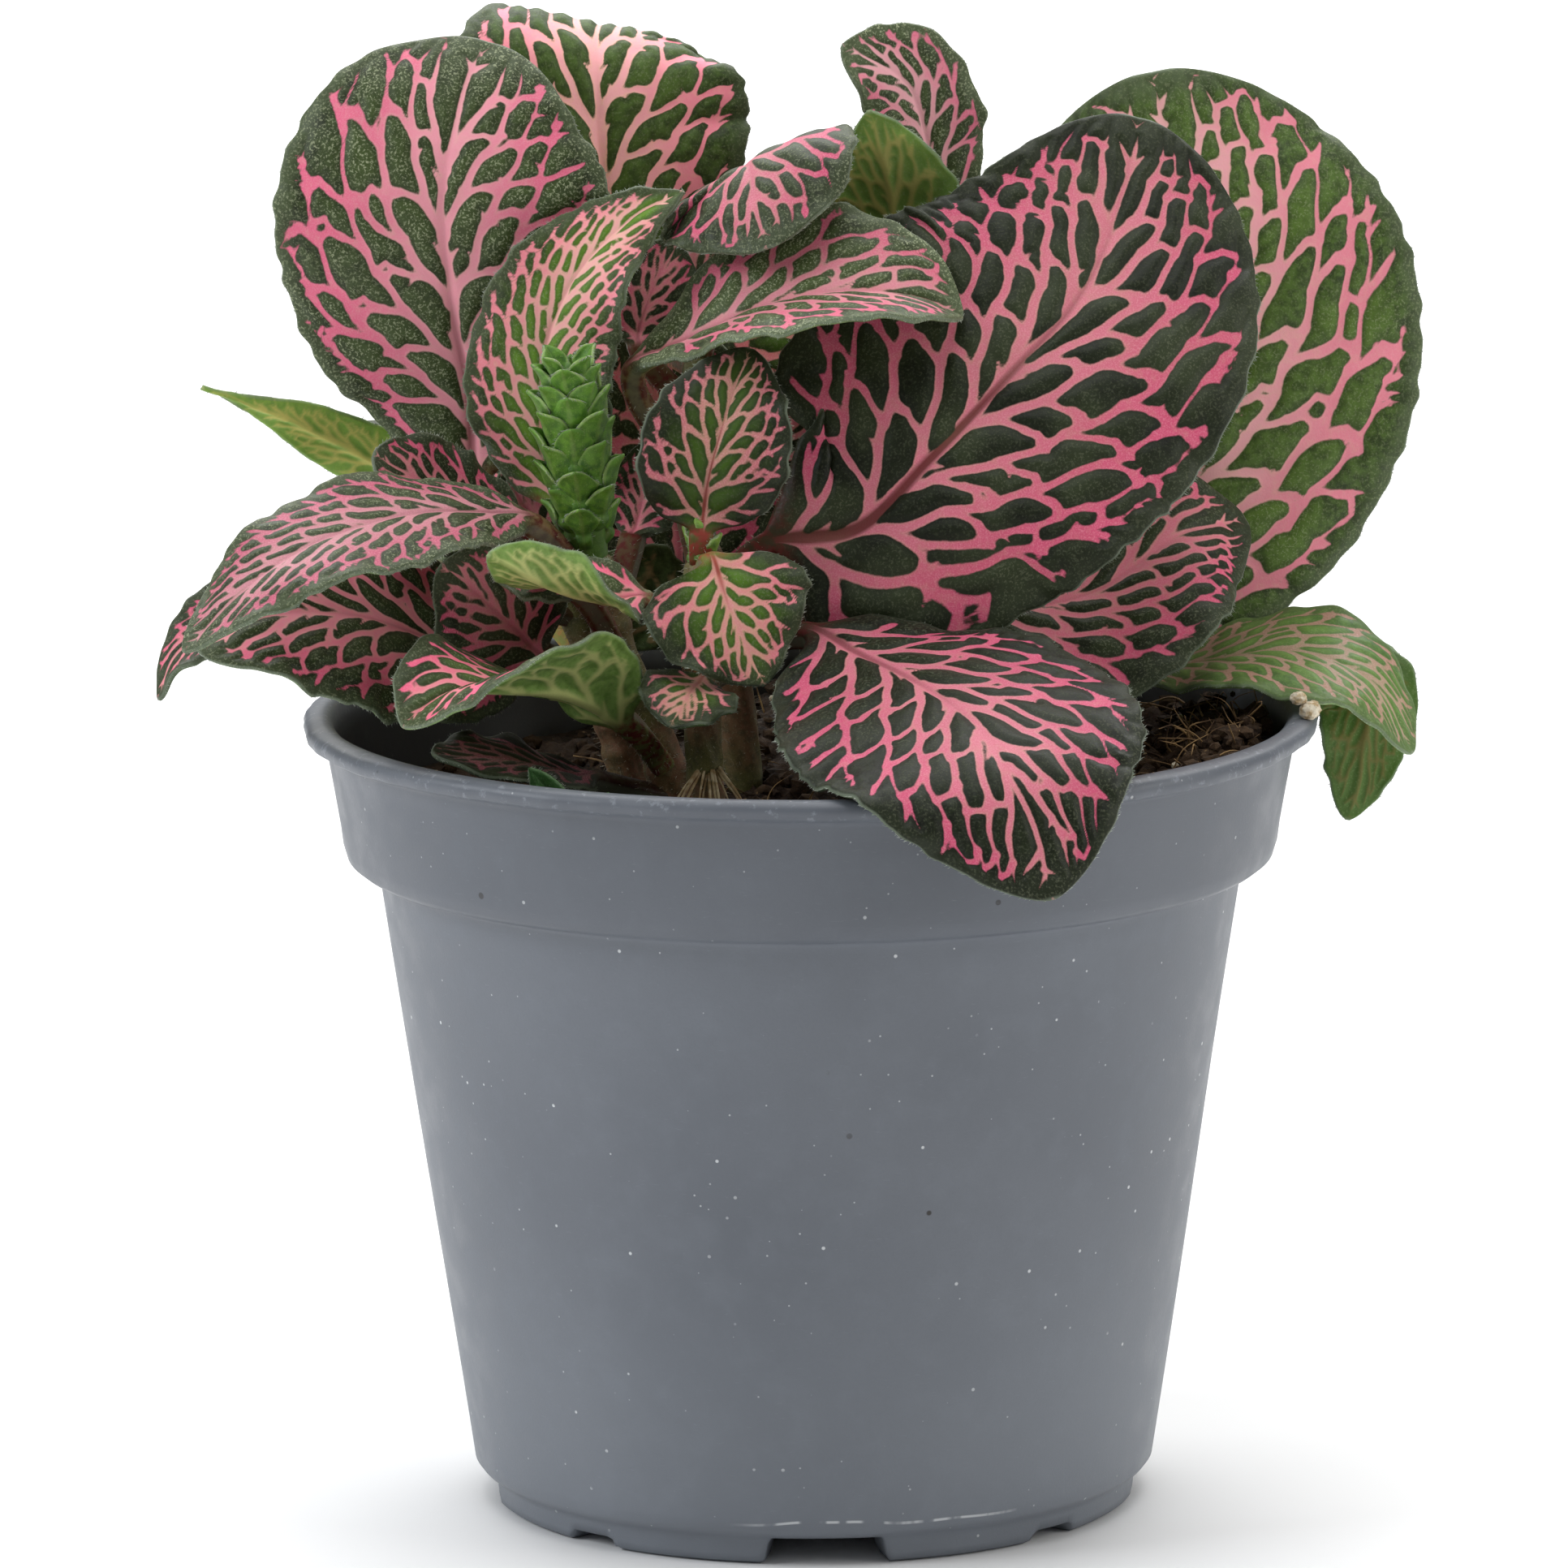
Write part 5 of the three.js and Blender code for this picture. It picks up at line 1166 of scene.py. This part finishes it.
def make_soil(turns=300, rings=96):
    angle = np.linspace(0, FULL_TURN, turns, endpoint=False)
    top_radius = np.linspace(40.6, 0.4, rings)
    wall = [(28.2, 3.9), (29.4, 6.2), (32, 21.6), (34.6, 39.2)]
    wall += [(37.1, 56), (38.2, 58.6), (39.8, 60.6), (40.5, 61.6)]
    radius = np.concatenate([[r for r, _ in wall], top_radius])
    x, y = radius[:, None] * np.cos(angle), radius[:, None] * np.sin(angle)
    z = np.repeat(np.array([h for _, h in wall] + [0] * rings)[:, None], turns, 1)
    tops = slice(len(wall), None)
    flat = np.stack([x[tops].ravel(), y[tops].ravel(), np.zeros(x[tops].size)], -1)
    clods = rough_noise(flat, 3.2, 5).reshape(rings, turns)
    pits = rough_noise(flat + 50, 1.1, 3).reshape(rings, turns)
    rim = smooth(40.6, 36, top_radius)[:, None]
    z[tops] = soil_height(x[tops], y[tops]) + (0.95 * np.abs(clods) + 0.5 * pits - 0.35) * (0.3 + 0.7 * rim)
    skin = ring_skin(np.stack([x, y, z], -1), (0, 0, 3.9), (0, 0, z[-1].mean()))
    finish_piece(build("fine_soil", *skin), soil_material("soil_skin", "#1D1612", "#3A2C21"), "soil", "soil")


def ball_points(detail):
    shape = bmesh.new()
    bmesh.ops.create_icosphere(shape, subdivisions=detail, radius=1)
    points = np.array([v.co for v in shape.verts], float)
    faces = np.array([[v.index for v in f.verts] for f in shape.faces])
    shape.free()
    return points, faces


def scatter(name, spots, sizes, detail, rng, material, slot, knobbly=0.3):
    """Many small lumps as one piece."""
    ball, faces = ball_points(detail)
    verts, tris = [], []
    for i, (spot, size) in enumerate(zip(spots, sizes)):
        swell = 1 + knobbly * rng.normal(0, 1, (len(ball), 1)).clip(-1.4, 1.4) * 0.6
        turn = Matrix.Rotation(rng.uniform(0, 6.28), 3, "Z") @ Matrix.Rotation(rng.uniform(-0.7, 0.7), 3, "X")
        verts.append(ball * swell * size @ np.array(turn).T + spot)
        tris.append(faces + i * len(ball))
    tris = np.concatenate(tris)
    obj = build(name, np.concatenate(verts), [tris], uvs=cell_uvs(len(tris), 3), smooth_faces=False)
    finish_piece(obj, material, slot)


def strands(name, strand_list, material):
    """Many thin closed strands, each a route and a radius, as one piece."""
    verts, quads, caps, offset = [], [], [], 0
    for line, radius in strand_list:
        path = Path(catmull(line, 5))
        taper = lambda share, angle, radius=radius: radius * (1 - 0.75 * share) + 0 * angle
        points, (four, three), *_ = tube(path, taper, max(5, int(path.length / 0.5)), 5)
        verts.append(points)
        quads.append(four + offset)
        caps.append(three + offset)
        offset += len(points)
    obj = build(name, np.concatenate(verts), [np.concatenate(quads), np.concatenate(caps)])
    finish_piece(obj, material, "soil")


def on_soil(rng, count, reach=39.0):
    radius = reach * np.sqrt(rng.random(count))
    angle = rng.uniform(0, FULL_TURN, count)
    x, y = radius * np.cos(angle), radius * np.sin(angle)
    return np.stack([x, y, soil_height(x, y)], -1)


def heaped(rng, middle, spread, count, reach, tall, low, high):
    """Spots in a heap whose height grows towards the right."""
    spots = rng.normal(middle, spread, (count, 3))
    spots = spots[np.hypot(spots[:, 0], spots[:, 1]) < reach]
    lift = rng.uniform(0, tall, len(spots)) * smooth(low, high, spots[:, 0])
    spots[:, 2] = soil_height(spots[:, 0], spots[:, 1]) + lift
    return spots


def inside(end, reach):
    """A strand's end, moved inside the pot where it would cross the wall."""
    away = math.hypot(end[0], end[1])
    return end * [reach / away, reach / away, 1] if away > reach else end


def fibre_material(name, size, dark, light, rough, depth):
    s = Shader(name)
    return s.finish(s.over(dark, light, s.noise(size), 0.35, 0.65), rough, s.bump(s.noise(0.3), depth))


def grain_material():
    s = Shader("grain_skin")
    tone = s.over("#B59C74", "#E4DAC4", s.noise(0.6, 3), 0.35, 0.65)
    tone = s.over(tone, "#7A6242", s.noise(0.25), 0.6, 0.75, 0.6)
    return s.finish(tone, 0.85, s.bump(s.noise(0.3, 3), 0.08))


def make_litter():
    """Crumbs, fibres, roots and pale grains on the soil."""
    rng = np.random.default_rng(LITTER_SEED)
    spots = on_soil(rng, 700)
    heap = heaped(rng, [34, 3, 0], [4.5, 9, 0], 220, 39.6, 2.2, 28, 37)
    bank = heaped(rng, [37, -4.5, 0], [2.8, 4.2, 0], 260, 40.2, 4, 30, 39)
    spots = np.concatenate([spots, heap, bank])
    sizes = rng.uniform(0.35, 1.25, (len(spots), 1)) ** 1.4
    sizes = sizes * rng.uniform(0.6, 1.2, (len(spots), 3)) * [1, 1, 0.75]
    skin = soil_material("crumb_skin", "#241A13", "#4A3826")
    scatter("soil_crumbs", spots + [0, 0, 0.25], sizes, 1, rng, skin, "soil")
    fibres = []
    for foot in np.concatenate([on_soil(rng, 110, 38), heap[rng.choice(len(heap), 60)]]):
        way = unit(rng.normal(0, 1, 3) * [1, 1, 0.28]) * rng.uniform(2.5, 7.5)
        middle = foot + way * 0.5 + rng.normal(0, 0.8, 3) * [1, 1, 0.4] + [0, 0, 0.7]
        end = inside(foot + way, 39.5)
        end[2] = max(end[2], float(soil_height(end[0], end[1])) - 0.1)
        fibres.append(([foot - [0, 0, 0.3], middle, end], rng.uniform(0.07, 0.2)))
    for foot in bank[rng.choice(len(bank), 60)]:
        end = inside(foot + rng.normal(0, 1, 3) * [2.2, 1.8, 0.6] + [-0.4, -0.6, rng.uniform(1, 3.6)], 40.5)
        middle = (foot + end) / 2 + rng.normal(0, 0.9, 3)
        fibres.append(([foot - [0, 0, 0.5], middle, end], rng.uniform(0.07, 0.16)))
    strands("soil_fibres", fibres, fibre_material("fibre_skin", 2.5, "#4A3422", "#9A7B50", 0.85, 0.04))
    roots = []
    for side in np.linspace(-1, 1, 11):
        start = np.array([-8.9 + 0.9 * side, -13.2, 68 + 0.6 * rng.random()])
        end = np.array([-8.9 + 4.2 * side + rng.normal(0, 0.5), -17 - 2 * rng.random(), SOIL_LEVEL])
        roots.append(([start, (start + end) / 2 + [0.5 * side, -1.4, 0.6], end], rng.uniform(0.12, 0.2)))
    strands("fine_roots", roots, fibre_material("root_skin", 1.2, "#A98C63", "#D9C8A2", 0.8, 0.03))
    grain_skin = grain_material()
    for name, spot, size, seed in (
        ("grain_rim", (44.4, 2, 72.5), (1.5, 1.2, 0.9), 3),
        ("grain_front", (30.5, -19.4, 67.2), (1.1, 1, 0.9), 5),
        ("grain_left", (-29.5, -10, 63.5), (1.0, 0.9, 0.7), 8),
    ):
        ball, faces = ball_points(4)
        lumps = rough_noise(ball * 1.3 + seed, 0.9)[:, None]
        obj = build("fine_" + name, ball * (0.98 + 0.22 * lumps) * size + spot, [faces])
        finish_piece(obj, grain_skin, "grain", name)
    specks = np.concatenate([on_soil(rng, 26, 38), heap[rng.choice(len(heap), 16)]]) + [0, 0, 0.5]
    on_lip = [(44.3, -6.2, 71.9), (43.3, -6.1, 73), (44.6, -4.6, 72)]
    sizes = np.append(rng.uniform(0.18, 0.5, len(specks)), [1, 0.75, 0.6])[:, None] * [1, 1, 0.8]
    scatter("pale_specks", np.concatenate([specks, on_lip]), sizes, 3, rng, grain_skin, "grain", 0.12)


make_soil()
make_litter()

# ---------------------------------------------------------------- hairs


def make_hairs(kind, radius, colours, slot):
    """Short tapered hairs, each a slim three-sided spike, as one piece."""
    points, ways, lengths = (np.concatenate([group[k] for group in HAIRS[kind]]) for k in range(3))
    ways = unit(ways)
    side = unit(np.cross(ways, np.array([0.31, 0.52, 0.79])))
    other = np.cross(ways, side)
    corners = []
    for k in range(3):
        angle = FULL_TURN * k / 3
        corners.append(points - 0.05 * ways + radius * (side * math.cos(angle) + other * math.sin(angle)))
    verts = np.stack([*corners, points + ways * lengths[:, None]], 1).reshape(-1, 3)
    base = np.arange(len(points))[:, None, None] * 4
    faces = (base + np.array([[0, 1, 3], [1, 2, 3], [2, 0, 3], [0, 2, 1]])[None]).reshape(-1, 3)
    s = Shader(kind + "_hairs_skin")
    material = s.finish(s.over(*colours, s.noise(3, 1), 0.35, 0.65), 0.5, Specular_IOR_Level=0.4)
    finish_piece(build(kind + "_hairs", verts, [faces], uvs=cell_uvs(len(faces), 3)), material, slot)


make_hairs("blade", 0.03, ("#8E9A86", "#C7CEC0"), "leaf_dark")
make_hairs("stem", 0.035, ("#A79F86", "#D8D3C2"), "stem")

# ---------------------------------------------------------------- stage

FLOOR_HALF, FLOOR_HEIGHT = 3000, -0.02
corners = [(x * FLOOR_HALF, y * FLOOR_HALF, FLOOR_HEIGHT) for x, y in ((-1, -1), (1, -1), (1, 1), (-1, 1))]
floor = build("floor", corners, [[(0, 1, 2, 3)]])
floor.data.materials.append(Shader("floor_skin").finish("#F4F4F4", 0.9, Specular_IOR_Level=0.2))

world = bpy.data.worlds.new("studio")
world.use_nodes = True
sky = world.node_tree.nodes["Background"].inputs
sky["Color"].default_value, sky["Strength"].default_value = (1, 1, 1, 1), 0.24
bpy.context.scene.world = world


def soft_light(name, spot, aim, size, watts, tint=(1, 1, 1)):
    data = bpy.data.lights.new(name, "AREA")
    data.color, data.energy = tint, watts
    data.shape, data.size, data.size_y = "RECTANGLE", *size
    lamp = bpy.data.objects.new(name, data)
    lamp.location = Vector(spot)
    lamp.rotation_euler = (Vector(aim) - Vector(spot)).to_track_quat("-Z", "Y").to_euler()
    bpy.context.scene.collection.objects.link(lamp)


PLANT = (0, 0, 0.07)
soft_light("key_light", (-0.95, -0.25, 0.6), PLANT, (0.5, 0.5), 5.8, (0.93, 0.965, 1))
soft_light("fill_light", (0.95, -0.25, 0.5), PLANT, (0.6, 0.6), 3.3, (1, 0.985, 0.95))
soft_light("top_light", (0, -0.2, 1.1), PLANT, (0.7, 0.7), 4.2)
soft_light("back_light", (0, 1.3, 1.2), (0, 1.1, 0), (2.0, 1.6), 40)

# the plant seen from the front and a little from above; FOCAL and PHOTO_WIDTH are in pixels
EYE, TARGET, ROLL = Vector((-2.3, -1100, 273)) * MM, Vector((-2.3, 0, 64.4)) * MM, -0.006
FOCAL, PHOTO_WIDTH, SENSOR = 15480, 1932, 36
ahead = (TARGET - EYE).normalized()
flat = ahead.cross(Vector((0, 0, 1))).normalized()
upright = flat.cross(ahead)
right = flat * math.cos(ROLL) + upright * math.sin(ROLL)
above = upright * math.cos(ROLL) - flat * math.sin(ROLL)
lens = bpy.data.cameras.new("camera")
lens.sensor_fit, lens.sensor_width = "HORIZONTAL", SENSOR
lens.lens = SENSOR * FOCAL / PHOTO_WIDTH
lens.clip_start, lens.clip_end = 0.05, 20
camera = bpy.data.objects.new("camera", lens)
camera.matrix_world = Matrix.Translation(EYE) @ Matrix((right, above, -ahead)).transposed().to_4x4()
bpy.context.scene.collection.objects.link(camera)
bpy.context.scene.camera = camera
bpy.context.scene.view_settings.view_transform = "Standard"

bpy.context.view_layer.update()
